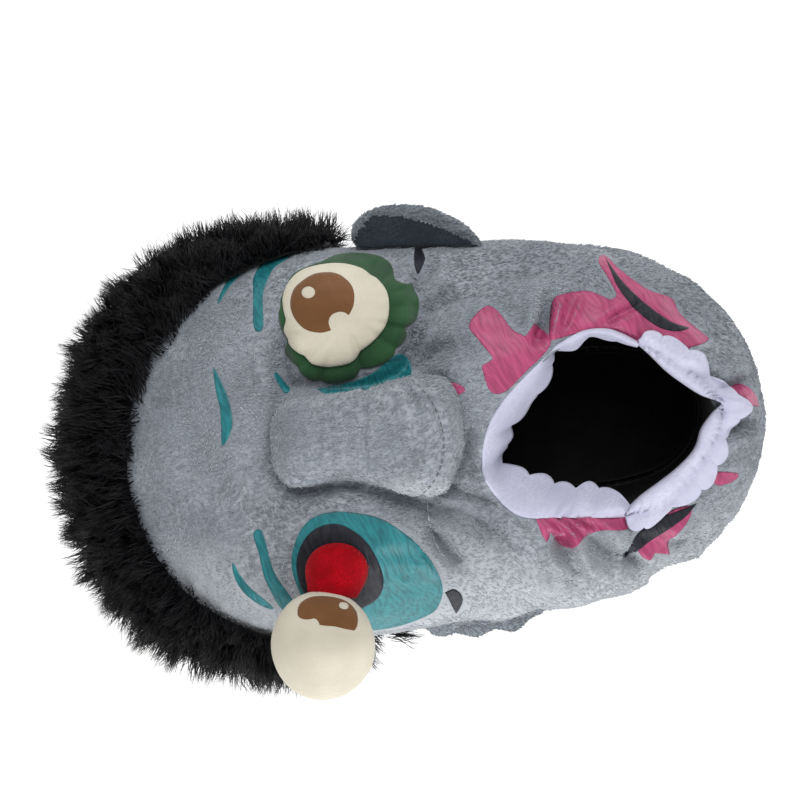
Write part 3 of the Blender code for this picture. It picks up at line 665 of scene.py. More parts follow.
# %% Crowded lip
LIP_LINE_Y = -0.047
LIP_CROWDS = 5.5 * MM
LIP_SPREAD = 0.013
LIP_LOW, LIP_HIGH = 0.060, 0.085
LIP_TOE_END, LIP_HEEL_END = 0.004, 0.108
crowd = np.exp(-(((skin[:, 1] - LIP_LINE_Y) / LIP_SPREAD) ** 2))
crowd *= np.clip((skin[:, 2] - LIP_LOW) / (LIP_HIGH - LIP_LOW), 0, 1)
crowd *= np.clip((skin[:, 0] - LIP_TOE_END) / 0.02, 0, 1) * np.clip((LIP_HEEL_END - skin[:, 0]) / 0.015, 0, 1)
skin[:, 1] += LIP_CROWDS * crowd

# %% [markdown]
# Each fold is a soft trough with a low ridge beside it, where the cloth that the trough takes is
# pushed up. Lines are in plan, and after each come a depth, which FOLD_STRENGTH multiplies, and a
# width. A groove runs round the foot of the nose, and soft lumps of filling show everywhere.

# %% Folds
FOLDS = [
    ([(5, -20), (14, -27), (29, -33)], 3.0, 4.0),
    ([(-3, -32), (11, -35), (23, -44), (30, -53)], 2.6, 4.5),
    ([(56, -52), (58, -58), (62, -68), (68, -78)], 4.2, 4.0),
    ([(49, -68), (56, -75), (63, -80)], 2.4, 4.0),
    ([(70, -52), (77, -61), (86, -68)], 3.2, 5.0),
    ([(88, -65), (96, -72)], 2.8, 3.6),
    ([(108, -62), (118, -62), (127, -59)], 2.6, 4.5),
    ([(-3, -42), (2, -51), (8, -60)], 3.2, 3.2),
    ([(-5, -28), (-5, -37), (-3, -47), (1, -55), (5, -59)], 1.6, 2.4),
    ([(1, 60), (-1, 55), (-4, 49), (-7, 43), (-12, 33)], 3.6, 4.0),
    ([(1, 60), (8, 65), (18, 68)], 2.6, 4.0),
    ([(-3, 37), (4, 41), (15, 46)], 2.4, 4.2),
    ([(6, 85), (1, 74), (-2, 62)], 2.2, 4.5),
    ([(-68, 55), (-68, 42), (-66, 30)], 2.4, 5.0),
    ([(54, 44), (57, 51), (61, 63)], 3.0, 3.4),
    ([(135, 18), (142, 12), (156, 15)], 2.4, 3.4),
    ([(142, -9), (149, -8), (156, -6)], 2.4, 3.6),
    ([(64, 47), (68, 56), (72, 64)], 1.0, 1.7),
    ([(66.5, 47), (70.5, 55), (75, 63)], 0.9, 1.5),
    ([(86, 48), (94, 52), (105, 55)], 1.0, 2.0),
    ([(64, -43), (70, -46), (77, -50)], 1.0, 1.6),
    ([(52, -42), (58, -48), (62, -54)], 0.9, 1.4),
    ([(57, -41), (63, -47), (68, -52)], 0.8, 1.4),
    ([(-122, 20), (-112, 8), (-108, -8)], 1.2, 10.0),
    ([(-100, -20), (-88, -28), (-76, -30)], 1.2, 8.0),
    ([(20, -22), (16, -8), (16, 6)], 1.6, 4.5),
    ([(120, 62), (134, 50), (146, 34)], 1.6, 8.0),
    ([(30, 74), (52, 78), (74, 78)], 1.2, 8.0),
    ([(20, -80), (36, -84), (52, -86)], 1.6, 6.0),
    ([(100, -82), (112, -76), (124, -68)], 2.2, 6.0),
]


RIDGE_SHARE = 0.42
RIDGE_PLACE = 1.8


def crease(points, normals, keep, line, depth_mm, width_mm):
    """Pushes one trough and its ridges into the points that keep names."""
    path = smooth_line(line, closed=False)
    gap, share = distance_to(points[:, :2], path, closed=False)
    width = width_mm * MM
    near = keep & (gap < 4 * width)
    fade = np.sqrt(np.clip(np.sin(math.pi * np.clip(share[near], 0.02, 0.98)), 0, 1))
    trough = np.exp(-((gap[near] / width) ** 2))
    ridge = np.exp(-(((gap[near] - RIDGE_PLACE * width) / width) ** 2))
    points[near] -= normals[near] * (depth_mm * MM * fade * (trough - RIDGE_SHARE * ridge))[:, None]


LOWEST_FOLD = 0.03
on_plush = ~is_lining & (skin[:, 2] > LOWEST_FOLD)
FOLD_STRENGTH = 2.7
for line, depth, width in FOLDS:
    crease(skin, skin_normals, on_plush, line, depth * FOLD_STRENGTH, width)
NOSE_FOOT = [
    (-66, 31), (-72, 16), (-75, 2), (-71, -12), (-61, -17), (-45, -16), (-31, -18), (-15, -25),
    (-5, -28), (3, -24), (10, -13), (14, 0), (11, 15), (3, 30), (-7, 35), (-16, 32), (-28, 29),
    (-46, 29),
]
gap, _ = distance_to(skin[:, :2], smooth_line(NOSE_FOOT), closed=True)
GROOVE_DEEP = 3.8 * MM
GROOVE_WIDE = 3.6 * MM
groove = GROOVE_DEEP * np.exp(-((gap[on_plush] / GROOVE_WIDE) ** 2))
skin[on_plush] -= skin_normals[on_plush] * groove[:, None]
soft = lumps(skin, 34, seed=3) * 0.7 + lumps(skin, 13, seed=4) * 0.22
skin[on_plush] += skin_normals[on_plush] * (soft[on_plush] * MM)[:, None]

# %% [markdown]
# A pressed print lies about a millimetre below the tips of the pile round it, so the head's skin
# sinks a little under each printed shape.

# %% Print beds
BED_DEPTH = 0.9 * MM
BED_SLOPE = 1.4 * MM
bed = np.zeros(len(skin))
for shape in ALL_PRINTS.values():
    loop = smooth_line(shape)
    low, high = loop.min(axis=0) - 2 * BED_SLOPE, loop.max(axis=0) + 2 * BED_SLOPE
    close = on_plush & ((skin[:, :2] > low) & (skin[:, :2] < high)).all(axis=1)
    places = skin[close][:, :2]
    gap, _ = distance_to(places, loop, closed=True)
    gap[is_within(places, loop)] = 0
    bed[close] = np.maximum(bed[close], np.clip(1 - gap / BED_SLOPE, 0, 1))
skin -= skin_normals * (BED_DEPTH * bed * bed * (3 - 2 * bed))[:, None]
set_points(head, skin)
head_tree = skin_tree(head)

# %% [markdown]
# A print is a thin film that follows whatever lies under it: its outline is filled with small
# triangles, each corner is dropped onto the cloth, and the sheet is given a little thickness.


# %% Printed films
RAY_TOP = 0.3
LOWEST_PRINT = 0.06


def from_above(place):
    """The start and the way of a ray that looks straight down at a plan place."""
    return Vector((place[0], place[1], RAY_TOP)), Vector((0, 0, -1))


def lay_film(name, shape, tree, look, lift_mm=0.3, thick_mm=0.6, grain_mm=1.0, aim=from_above):
    """A thin sheet with the outline of shape, laid on the piece that tree stands for."""
    loop = evenly(smooth_line(shape), max(24, int(len(shape) * 7)))
    low, high = loop.min(axis=0), loop.max(axis=0)
    across = np.arange(low[0], high[0], grain_mm * MM)
    along = np.arange(low[1], high[1], grain_mm * MM)
    grid = np.array([(x, y) for x in across for y in along]).reshape(-1, 2)
    if len(grid):
        gap, _ = distance_to(grid, loop, closed=True)
        grid = grid[is_within(grid, loop) & (gap > 0.45 * grain_mm * MM)]
    flat = [Vector(p) for p in np.vstack([loop, grid])]
    ring = [(i, (i + 1) % len(loop)) for i in range(len(loop))]
    flat, _, faces, *_ = geometry.delaunay_2d_cdt(flat, ring, [list(range(len(loop)))], 1, 1e-7)
    points, missed = [], set()
    for i, place in enumerate(flat):
        start, way = aim(place)
        hit, normal, _, _ = tree.ray_cast(start, way)
        if hit is None or hit.z < LOWEST_PRINT:
            missed.add(i)
            points.append(Vector((0, 0, 0)))
            continue
        outward = normal if normal.dot(way) < 0 else -normal
        points.append(hit + outward * (lift_mm * MM))
    faces = [f for f in faces if not missed & set(f)]
    used = sorted({i for f in faces for i in f})
    index = {old: new for new, old in enumerate(used)}
    film = make_piece(name, [points[i] for i in used], [[index[i] for i in f] for f in faces], look)
    if film.data.polygons[0].normal.dot(Vector(aim(flat[0])[1])) > 0:
        film.data.flip_normals()
    applied(film, "SOLIDIFY", thickness=thick_mm * MM, offset=-1)


for group, look, lift in (
    (FLESH_PRINTS, PINK_PRINT, 0.30),
    (SLIT_PRINTS, SLATE_PRINT, 0.55),
    (BROW_PRINTS, TEAL_PRINT, 0.30),
    (EYE_PRINTS, TEAL_PRINT, 0.30),
    (RING_PRINTS, SLATE_PRINT, 0.55),
):
    for name, shape in group.items():
        lay_film("print_" + name, shape, head_tree, look, lift)
print("prints laid")

# %% [markdown]
# The left eye is two stuffed pads, a scalloped green one and a cream disc on top. Each is a ring of
# points drawn in towards its middle over the cloth below, and raised into a low dome. Where two
# scallops meet, the stitch pulls a crease in towards the middle.


# %% Stuffed pads
PUCKER_WIDE = 1.5 * MM
PUCKER_LONG = 9 * MM


def highest(place, trees):
    """The highest point of several pieces over a plan place."""
    hits = [tree.ray_cast(*from_above(place))[0] for tree in trees]
    return max((hit for hit in hits if hit is not None), key=lambda hit: hit.z)


def stuffed_pad(name, node, shape, trees, height_mm, look, crease_depth=0.0, count=220, rings=26):
    loop = evenly(smooth_line(shape), count)
    middle = loop.mean(axis=0)
    notches = np.array([p[:2] for p in shape if len(p) > 2], float) * MM
    shares = 1 - (np.arange(rings) / rings) ** 1.4
    tops, unders = [], []
    for share in shares:
        for place in middle + share * (loop - middle):
            hit = highest(place, trees)
            rise = height_mm * MM * (1 - share**2.6) ** 0.55
            if crease_depth and share > 0.4:
                for notch in notches:
                    inward = (middle - notch) / np.linalg.norm(middle - notch)
                    run = (place - notch) @ inward
                    side = abs((place - notch) @ np.array([-inward[1], inward[0]]))
                    pull = math.exp(-((side / PUCKER_WIDE) ** 2)) * math.exp(-max(run, 0) / PUCKER_LONG)
                    rise *= 1 - crease_depth * pull
            tops.append(hit + Vector((0, 0, 1.3 * MM + rise)))
            unders.append(hit + Vector((0, 0, 0.3 * MM + 0.9 * MM * share**6)))
    points = tops + unders
    faces = []
    half = len(tops)
    for r in range(rings - 1):
        for i in range(count):
            j = (i + 1) % count
            a, b, c, d = r * count + i, r * count + j, (r + 1) * count + j, (r + 1) * count + i
            faces.append((a, b, c, d))
            faces.append((half + d, half + c, half + b, half + a))
    last = (rings - 1) * count
    points += [sum(tops[last:], Vector()) / count, sum(unders[last:], Vector()) / count]
    for i in range(count):
        j = (i + 1) % count
        faces.append((last + i, last + j, len(points) - 2))
        faces.append((half + last + j, half + last + i, len(points) - 1))
        faces.append((half + i, half + j, j, i))
    pad = make_piece(name, points, faces, look)
    face_outward(pad)
    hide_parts(node)
    return pad


LID_SHAPE = [
    (-66, 69), (-67, 65), (-66, 58), (-64, 53), (-65.6, 48), (-63, 43.5), (-59.4, 40, 1), (-58, 36.5),
    (-54, 33), (-49.8, 33, 1), (-47, 31.3), (-43, 30.7), (-38, 31.2), (-33, 33), (-30.7, 37, 1),
    (-26, 36.6), (-20, 38), (-15, 41), (-13.6, 44.7, 1), (-9.7, 47), (-7.5, 51), (-8.5, 53.7, 1),
    (-3, 57), (-1, 62), (-0.5, 67.5), (-2, 71.5), (-2.5, 74.6, 1), (-7, 75.2), (-10.7, 77.5),
    (-11.3, 82, 1), (-12.5, 86), (-16.4, 89.6, 1), (-21, 91.4), (-28.7, 93), (-34.5, 93), (-40, 92),
    (-44.4, 89.8, 1), (-48, 88.8), (-55, 86.6), (-60, 83.6), (-62.4, 79), (-65, 74),
]
EYE_SHAPE = [
    (-64.4, 73.8), (-61.7, 80.3), (-55, 85.9), (-45, 88), (-34.7, 87.5), (-26.4, 84.4),
    (-22.4, 80.7, 1), (-18.8, 78), (-15.1, 71.4), (-14.9, 62.8), (-17.4, 55.4), (-23.3, 49.2),
    (-29.9, 45, 1), (-32.6, 41.4), (-37, 39.4), (-45.7, 38.9), (-52.3, 40.7), (-54.9, 43.3),
    (-55.9, 44.9, 1), (-59.4, 47.1), (-62.7, 50.7), (-63.4, 53.7, 1), (-64.9, 56.7), (-64.8, 59.1, 1),
    (-63.6, 62.3), (-64, 65.2), (-64.6, 69.1),
]
IRIS_SHAPE = [
    (-60.6, 71.4), (-58.6, 76.9), (-54, 80.7), (-49, 83.1), (-43.3, 83.6), (-38.7, 82.7),
    (-35.1, 80.5), (-31.7, 76.4), (-30.5, 71.6), (-31.4, 66), (-33.9, 62, 1), (-35.6, 63.5),
    (-38.4, 64), (-41.9, 62.7), (-43.4, 59.5), (-42.5, 55.8, 1), (-47.7, 55.1), (-54.2, 57.1),
    (-58.5, 61.7), (-60.5, 66.6),
]
SHINE_SHAPE = [
    (-55.1, 74.6), (-54, 76.5), (-51.7, 77.2), (-49.5, 76.1), (-48.7, 74.1), (-49.8, 72.2),
    (-52.2, 71.6), (-54.3, 72.6),
]
eye_lid = stuffed_pad("eye_lid_pad", "eye_lid", LID_SHAPE, [head_tree], 4.2, GREEN_CLOTH, crease_depth=0.75)
lid_tree = skin_tree(eye_lid)
eye = stuffed_pad("eye_pad", "eye", EYE_SHAPE, [lid_tree, head_tree], 5.6, CREAM_CLOTH, crease_depth=0.15)
eye_tree = skin_tree(eye)
lay_film("print_iris", IRIS_SHAPE, eye_tree, BROWN_PRINT, 0.10, 0.3, 1.1)
lay_film("print_eye_shine", SHINE_SHAPE, eye_tree, CREAM_CLOTH, 0.22, 0.3, 1.1)
print("eye", triangles(eye), "triangles")

# %% [markdown]
# The nose is a stuffed pillow of the same plush, made of two panels that meet in a seam across it,
# with a row of topstitching that nips the nostrils. The bridge is drawn in on the near side.

# %% Nose
NOSE_STITCH = [
    (-7.6, 30.1), (-3, 25.3), (1, 19), (3.7, 11.2), (4.8, 2.7), (4, -5.6), (1.5, -12.8), (-2.7, -19),
    (-8.5, -24.5),
]
NOSE_SEAM = [(-28.9, 29), (-30, 17), (-31.6, 3.2), (-32, -8.4), (-33, -18.5)]
NOSE_FOLDS = [
    (NOSE_STITCH, 1.8, 1.5),
    (NOSE_SEAM, 1.8, 1.4),
    ([(-12, 27), (-6, 22), (0, 16)], 1.6, 2.2),
    ([(-26, -13), (-16, -8), (-8, 2), (-8, 16)], 2.6, 6.0),
    ([(-24, 22), (-18, 12), (-18, 2)], 1.6, 5.0),
    ([(-52, 24), (-50, 10), (-52, -10)], 1.2, 8.0),
]
BRIDGE_X = -0.044
BRIDGE_REACH = 0.021
BRIDGE_WAIST = 6.0 * MM
NOSTRIL_DRAWN_IN = 4.0 * MM
nose = smooth_copy("nose", "nose_plush", 3, NOSE_PLUSH)
cushion, cushion_normals = points_of(nose), normals_of(nose)
seen = cushion_normals[:, 2] > -0.2
for line, depth, width in NOSE_FOLDS:
    crease(cushion, cushion_normals, seen, line, depth, width)
near_side = np.clip((0.006 - cushion[:, 1]) / 0.018, 0, 1)
bridge = np.exp(-(((cushion[:, 0] - BRIDGE_X) / BRIDGE_REACH) ** 2))
cushion[:, 1] += BRIDGE_WAIST * near_side * bridge
tip = np.clip(cushion[:, 0] / 0.012, 0, 1) * np.clip((-cushion[:, 1] - 0.002) / 0.016, 0, 1)
cushion[:, 0] -= NOSTRIL_DRAWN_IN * tip
set_points(nose, cushion)
nose_tree = skin_tree(nose)
print("nose", triangles(nose), "triangles")

# %% [markdown]
# The second eye hangs out on a stalk of red fleece. The ball is two cream panels; the front one has
# the iris printed on it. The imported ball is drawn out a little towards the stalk.

# %% Loose eyeball and its stalk
BALL = Vector((-0.0590, -0.0900, 0.1245))
BALL_RADIUS = 0.0248
BALL_LIFT = math.radians(38)
BALL_LOOKS = Vector((0.10, math.cos(BALL_LIFT), math.sin(BALL_LIFT))).normalized()
BALL_RIGHT = (Vector((1, 0, 0)) - BALL_LOOKS * BALL_LOOKS.x).normalized()
BALL_BACK = BALL_RIGHT.cross(BALL_LOOKS)
PANEL_NIP = 0.22 * MM
BALL_DRAWN = 2.0 * MM
eyeball = smooth_copy("eyeball", "eyeball_cloth", 2, CREAM_CLOTH)
ball = points_of(eyeball)
out = unit(ball - np.array(BALL))
facing = out @ np.array(BALL_LOOKS)
panel = np.hypot(out @ np.array(BALL_RIGHT) / 0.93, (out @ np.array(BALL_BACK) + 0.1) / 0.62)
nip = np.exp(-(((panel - 1) / 0.05) ** 2)) * (facing > 0)
ball -= out * (nip * PANEL_NIP)[:, None]
ball[:, 1] += np.clip(out[:, 1], 0, 1) ** 2 * BALL_DRAWN
ball += out * (lumps(ball, 22, seed=8) * 0.35 * MM)[:, None]
set_points(eyeball, ball)
ball_tree = skin_tree(eyeball)


def from_ball_front(place):
    """A ray at the ball, from a place measured across the panel's front."""
    across, back = place[0] / BALL_RADIUS, place[1] / BALL_RADIUS
    deep = math.sqrt(max(1 - across * across - back * back, 0.02))
    way = (BALL_LOOKS * deep + BALL_RIGHT * across + BALL_BACK * back).normalized()
    return BALL + way * 0.1, -way


BALL_IRIS = [
    (-13.3, -1.7), (-11.7, -8.5), (-6.2, -12.3), (1.2, -12.8), (8.2, -12), (12.6, -9.5), (15.6, -5),
    (16.6, 0), (16.3, 4.5), (15, 7.8, 1), (10.7, 8.4), (5.7, 8), (1.2, 7.9), (-2.5, 7.4, 1),
    (-3, 5.5), (-5, 3), (-8.2, 3), (-11.2, 1.8),
]
BALL_SHINE = [
    (7.9, -6.4), (8.6, -8.4), (10.2, -9.1), (11.8, -8.4), (12.4, -6.4), (11.8, -4.5), (10.2, -3.8),
    (8.6, -4.5),
]
lay_film("print_ball_iris", BALL_IRIS, ball_tree, BROWN_PRINT, 0.10, 0.3, 1.1, from_ball_front)
lay_film("print_ball_shine", BALL_SHINE, ball_tree, CREAM_CLOTH, 0.24, 0.3, 0.9, from_ball_front)

stalk = smooth_copy("stalk", "stalk_fleece", 2, RED_FLEECE)
red = points_of(stalk)
middle = red.mean(axis=0)
red[:, 0] = middle[0] + (red[:, 0] - middle[0]) * 1.2
near_ball = np.clip((-0.047 - red[:, 1]) / 0.018, 0, 1)
high = np.clip((red[:, 2] - 0.108) / 0.02, 0, 1)
red[:, 2] -= 9.0 * MM * near_ball * high
red[:, 1] += 2.0 * MM * (1 - near_ball)
set_points(stalk, red)
stalk_tree = skin_tree(stalk)
print("ball", triangles(eyeball), "stalk", triangles(stalk), "triangles")

# %% [markdown]
# Stitches are short lengths of thread that rise from the cloth and dive back into it.


# %% Stitching
THREAD_GREY = brushed("polyester_thread_grey", "#7E8588", "#5E6568", 0.6, 0.2, 0.1)
THREAD_WHITE = brushed("polyester_thread_white", "#E6E8EA", "#C2C5C8", 0.6, 0.2, 0.1)
THREAD_RED = brushed("polyester_thread_red", "#A3081A", "#7A0412", 0.6, 0.2, 0.1)


def tube_faces(count, around, start):
    faces = []
    for k in range(count - 1):
        for i in range(around):
            j = (i + 1) % around
            a, b = start + k * around, start + (k + 1) * around
            faces.append((a + i, a + j, b + j, b + i))
    faces.append(tuple(start + i for i in reversed(range(around))))
    faces.append(tuple(start + (count - 1) * around + i for i in range(around)))
    return faces


def sew(name, line, tree, look, length_mm=2.4, gap_mm=1.0, thick_mm=0.34, aim=from_above):
    """A row of stitches along a plan line, laid on the cloth below."""
    path = smooth_line(line, closed=False, steps=10)
    run = np.concatenate([[0], np.cumsum(np.linalg.norm(np.diff(path, axis=0), axis=1))])
    points, faces = [], []
    start = 0.0
    steps, around = 6, 6
    while start + length_mm * MM < run[-1]:
        marks = np.linspace(start, start + length_mm * MM, steps)
        spine = []
        for mark in marks:
            place = (np.interp(mark, run, path[:, 0]), np.interp(mark, run, path[:, 1]))
            hit, normal, _, _ = tree.ray_cast(*aim(place))
            share = (mark - start) / (length_mm * MM)
            if hit is not None:
                spine.append((hit + normal * (math.sin(math.pi * share) * 0.35 - 0.12) * MM, normal))
        start += (length_mm + gap_mm) * MM
        if len(spine) < steps:
            continue
        base = len(points)
        for k, (spot, normal) in enumerate(spine):
            way = spine[min(k + 1, steps - 1)][0] - spine[max(k - 1, 0)][0]
            side = way.cross(normal).normalized()
            thick = thick_mm * MM * (0.5 + 0.5 * math.sin(math.pi * (k + 0.5) / steps))
            for i in range(around):
                turn = 2 * math.pi * i / around
                points.append(spot + (side * math.cos(turn) + normal * math.sin(turn)) * thick)
        faces += tube_faces(steps, around, base)
    return make_piece(name, points, faces, look)


sew("stitch_nose", NOSE_STITCH, nose_tree, THREAD_GREY)
CHEEK_STITCH = [(-5, -28), (-4.8, -37), (-3, -47.5), (0.5, -55), (5.4, -58.7)]
sew("stitch_cheek", CHEEK_STITCH, head_tree, THREAD_WHITE, 4.6, 0.6, 0.22)
STALK_STITCH = [
    (-57.6, -47), (-54, -45.2), (-49, -44.8), (-43.5, -46.3), (-39, -49.6), (-36, -54), (-35, -59),
]
sew("stitch_stalk", STALK_STITCH, stalk_tree, THREAD_RED, 1.8, 0.9, 0.26)
print("stitches sewn")

# %% [markdown]
# The ears are flat stuffed pads sewn in at the side seam. The far ear is pricked, and its hollow is
# lined with darker plush. The near ear is tucked in, and its rim is wavy.

# %% Ears
ear_right = smooth_copy("ear_right", "ear_right_plush", 2, SHADED_EAR_PLUSH, INNER_EAR)
ear_left = smooth_copy("ear_left", "ear_left_plush", 2, SHADED_EAR_PLUSH, INNER_EAR)
EAR_HOLLOW = smooth_line([
    (-29, 97), (-26, 104), (-19, 109.5), (-9, 109), (2, 106), (13, 101.5), (22, 96.5), (28, 93),
    (20, 88), (-20, 88),
])
for face in ear_right.data.polygons:
    centre = np.array([face.center[:2]])
    if face.normal.z > 0.1 and is_within(centre, EAR_HOLLOW)[0]:
        face.material_index = 1
EAR_WAVE_LONG = 19 * MM
EAR_WAVE_WIDE = 1.6 * MM
EAR_WAVE_HIGH = 2.2 * MM
EAR_TUCKED_IN = 3.0 * MM
EAR_RIM_Y = -0.084
low_ear = points_of(ear_left)
low_ear[:, 1] += EAR_TUCKED_IN
rim = np.clip((EAR_RIM_Y - low_ear[:, 1]) / 0.008, 0, 1)
wave = np.sin(2 * math.pi * low_ear[:, 0] / EAR_WAVE_LONG) * rim
low_ear[:, 1] += EAR_WAVE_WIDE * wave
low_ear[:, 2] += EAR_WAVE_HIGH * wave
set_points(ear_left, low_ear)
for ear in (ear_right, ear_left):
    flesh = points_of(ear)
    flesh += normals_of(ear) * (lumps(flesh, 20, seed=11) * 0.5 * MM)[:, None]
    set_points(ear, flesh)

# %% [markdown]
# The teeth are strips of felt, cut with a scalloped edge and sewn in at the collar. The front strip
# hangs into the mouth; the rear one is folded out over the collar.


# %% Felt strips
def felt_strip(name, node, rows, thick_mm, look):
    """A closed sheet of felt through rows of points, from the sewn edge to the free edge."""
    rows = np.array(rows)
    depth, length = rows.shape[:2]
    along = np.gradient(rows, axis=1)
    across = np.gradient(rows, axis=0)
    face_way = np.cross(along, across)
    face_way /= np.linalg.norm(face_way, axis=2)[:, :, None] + 1e-12
    half = face_way * thick_mm * MM / 2
    points = np.vstack([(rows + half).reshape(-1, 3), (rows - half).reshape(-1, 3)])
    count = depth * length
    faces = []
    for r in range(depth - 1):
        for i in range(length - 1):
            a, b = r * length + i, r * length + i + 1
            c, d = b + length, a + length
            faces += [(a, b, c, d), (count + d, count + c, count + b, count + a)]
    edge = list(range(length)) + [r * length + length - 1 for r in range(1, depth)]
    edge += [(depth - 1) * length + i for i in reversed(range(length - 1))]
    edge += [r * length for r in reversed(range(1, depth - 1))]
    for a, b in zip(edge, edge[1:] + edge[:1]):
        faces.append((count + a, count + b, b, a))
    strip = make_piece(name, points, faces, look)
    face_outward(strip)
    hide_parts(node)
    area = 0.0
    for r in range(depth - 1):
        one = np.cross(rows[r, 1:] - rows[r, :-1], rows[r + 1, :-1] - rows[r, :-1])
        two = np.cross(rows[r + 1, 1:] - rows[r, 1:], rows[r + 1, 1:] - rows[r + 1, :-1])
        area += (np.linalg.norm(one, axis=1).sum() + np.linalg.norm(two, axis=1).sum()) / 2
    width = np.linalg.norm(np.diff(rows, axis=0), axis=2).sum(axis=0).max()
    sewn = np.linalg.norm(np.diff(rows[0], axis=0), axis=1).sum()
    print(f"{name}: {area * 1e6:.0f} mm2, width {width * 1000:.1f} mm, sewn edge {sewn * 1000:.1f} mm")
    return strip, area, width, sewn


def spaced(points, count):
    """A smooth open line through points of three values in millimetres, at equal steps, in metres."""
    plan = smooth_line([p[:2] for p in points], closed=False, steps=8)
    given = np.linspace(0, 1, len(points))
    heights = np.interp(np.linspace(0, 1, len(plan)), given, [p[2] for p in points])
    return evenly(np.column_stack([plan, heights * MM]), count, closed=False)


FRONT_SEAM = [
    (102, 37.2, 104), (94, 42.2, 105), (86, 45.2, 105), (75, 44.8, 106), (64, 40.5, 107),
    (56.5, 35, 108), (49, 29, 109), (40, 21.3, 110), (32.3, 13, 110), (27, 5.4, 110),
    (23.4, -4.2, 110), (22.4, -11.7, 110), (22.6, -19.5, 110), (27.5, -29, 109), (33.5, -35.8, 108),
    (42, -40.5, 107), (57, -42, 106), (73.8, -43.6, 105), (91, -44.8, 103),
]
FRONT_FREE = [
    (101, 35.4, 98), (90.2, 39.2, 95), (81.5, 42.4, 93), (77, 40.9, 92), (72, 37, 91), (65.5, 37, 91),
    (61.7, 38.5, 91), (61.5, 31.6, 90), (58.9, 24.1, 90), (55.5, 18.1, 89), (49.3, 13.3, 89),
    (43.3, 5.6, 89), (38.5, 3, 89), (38.5, -2.7, 89), (36, -6.5, 89), (33, -10, 89),
    (33.5, -13.5, 89), (37.9, -16.5, 89), (44.6, -18.7, 89), (51, -21.5, 89), (57.6, -24.6, 89),
    (65.8, -28, 89), (73.4, -27.5, 89), (80, -29.5, 90), (87.2, -34, 92), (92.4, -40, 96),
]
SCALLOPS_FRONT = 13
FELT_MM = 1.3
FRONT_ARCH = 3.4 * MM
FRONT_FLUTE = 1.3 * MM
HEAD_TOP_FROM = 0.07
COLUMNS, ROWS = 300, 14
seam = spaced(FRONT_SEAM, COLUMNS)
free = spaced(FRONT_FREE, COLUMNS)
for k, place in enumerate(seam):
    inward = np.array([COLLAR_X, 0.0]) - place[:2]
    spot = place[:2] - inward / np.linalg.norm(inward) * 1.5 * MM
    hit = head_tree.ray_cast(*from_above(spot))[0]
    if hit is not None and hit.z > 0.08:
        seam[k, 2] = hit.z - 0.3 * MM
marks = np.linspace(0, 1, COLUMNS)
uneven = 0.018 * np.sin(9 * marks) + 0.012 * np.sin(23 * marks)
scallop = np.abs(np.sin(math.pi * SCALLOPS_FRONT * (marks + uneven)))
flute = np.sin(2 * math.pi * 6.5 * marks + 1.3 * np.sin(7 * marks))
front_rows = []
for r in range(ROWS):
    share = r / (ROWS - 1)
    reach = share * (0.86 + 0.16 * scallop**0.7)
    row = seam + (free - seam) * reach[:, None]
    row[:, 2] += math.sin(math.pi * min(share * 1.1, 1)) * FRONT_ARCH + flute * share**1.4 * FRONT_FLUTE
    front_rows.append(row)
front_strip, front_area, front_width, front_length = felt_strip(
    "teeth_front_felt", "teeth_front", front_rows, FELT_MM, WHITE_FELT
)

REAR_INNER = [
    (101.8, 37.2, 103), (107, 31.6, 104), (114, 23.4, 104), (121, 17.1, 104), (129.4, 10.6, 105),
    (139, 5.5, 106), (134, 0.4, 105), (128.5, -6.2, 105), (125.5, -13.6, 105), (121.5, -19, 104),
    (114, -25.1, 104), (105, -31, 103), (97.5, -35.7, 102), (91, -41, 101),
]
REAR_OUTER = [
    (102, 39, 104), (106, 42.5, 104), (115, 40.5, 103), (122.5, 35, 102), (131, 30.4, 101),
    (136, 20, 101), (146, 11.5, 100), (155, 2, 98), (149, -4.5, 99), (142.5, -9, 99), (140, -19, 99),
    (134.5, -28, 99), (127.5, -37, 98), (117, -41.5, 98), (106, -46.5, 97), (97, -53, 96),
    (90.5, -50.5, 97), (88.5, -44, 100),
]
SCALLOPS_REAR = 11
inner = spaced(REAR_INNER, COLUMNS)
turned = spaced(REAR_OUTER, COLUMNS)
scallop = np.abs(np.sin(math.pi * SCALLOPS_REAR * (marks + 0.014 * np.sin(11 * marks))))
TUCK = 7 * MM
TUCKED_ROWS = 4
rear_rows = []
for r in range(ROWS + TUCKED_ROWS):
    row = inner.copy()
    if r < TUCKED_ROWS:
        row[:, 2] -= TUCK * (1 - r / TUCKED_ROWS)
        rear_rows.append(row)
        continue
    share = (r - TUCKED_ROWS) / (ROWS - 1)
    reach = share * (0.82 + 0.20 * scallop**0.6)
    row = inner + (turned - inner) * reach[:, None]
    flutter = 0.5 + 0.5 * np.sin(2 * math.pi * 5.5 * marks + 2 * np.sin(5 * marks))
    for k in range(COLUMNS):
        hit = head_tree.ray_cast(*from_above(row[k]))[0]
        if hit is not None and hit.z > HEAD_TOP_FROM:
            arch = 2.0 + 2.8 * math.sin(math.pi * min(share, 0.85))
            row[k, 2] = hit.z + (arch + flutter[k] * share * 1.6) * MM
        else:
            row[k, 2] += 2.0 * MM * math.sin(math.pi * 0.5 * min(share * 3, 1))
    rear_rows.append(row)
rear_rows = np.array(rear_rows)
for _ in range(2):
    turned_rows = rear_rows[TUCKED_ROWS:, :, 2]
    turned_rows[:, 1:-1] = (turned_rows[:, :-2] + turned_rows[:, 2:]) / 2
    rear_rows[3:-1, :, 2] = (rear_rows[2:-2, :, 2] + rear_rows[3:-1, :, 2] * 2 + rear_rows[4:, :, 2]) / 4
rear_strip, rear_area, rear_width, rear_length = felt_strip(
    "teeth_rear_felt", "teeth_rear", rear_rows, FELT_MM, WHITE_FELT
)
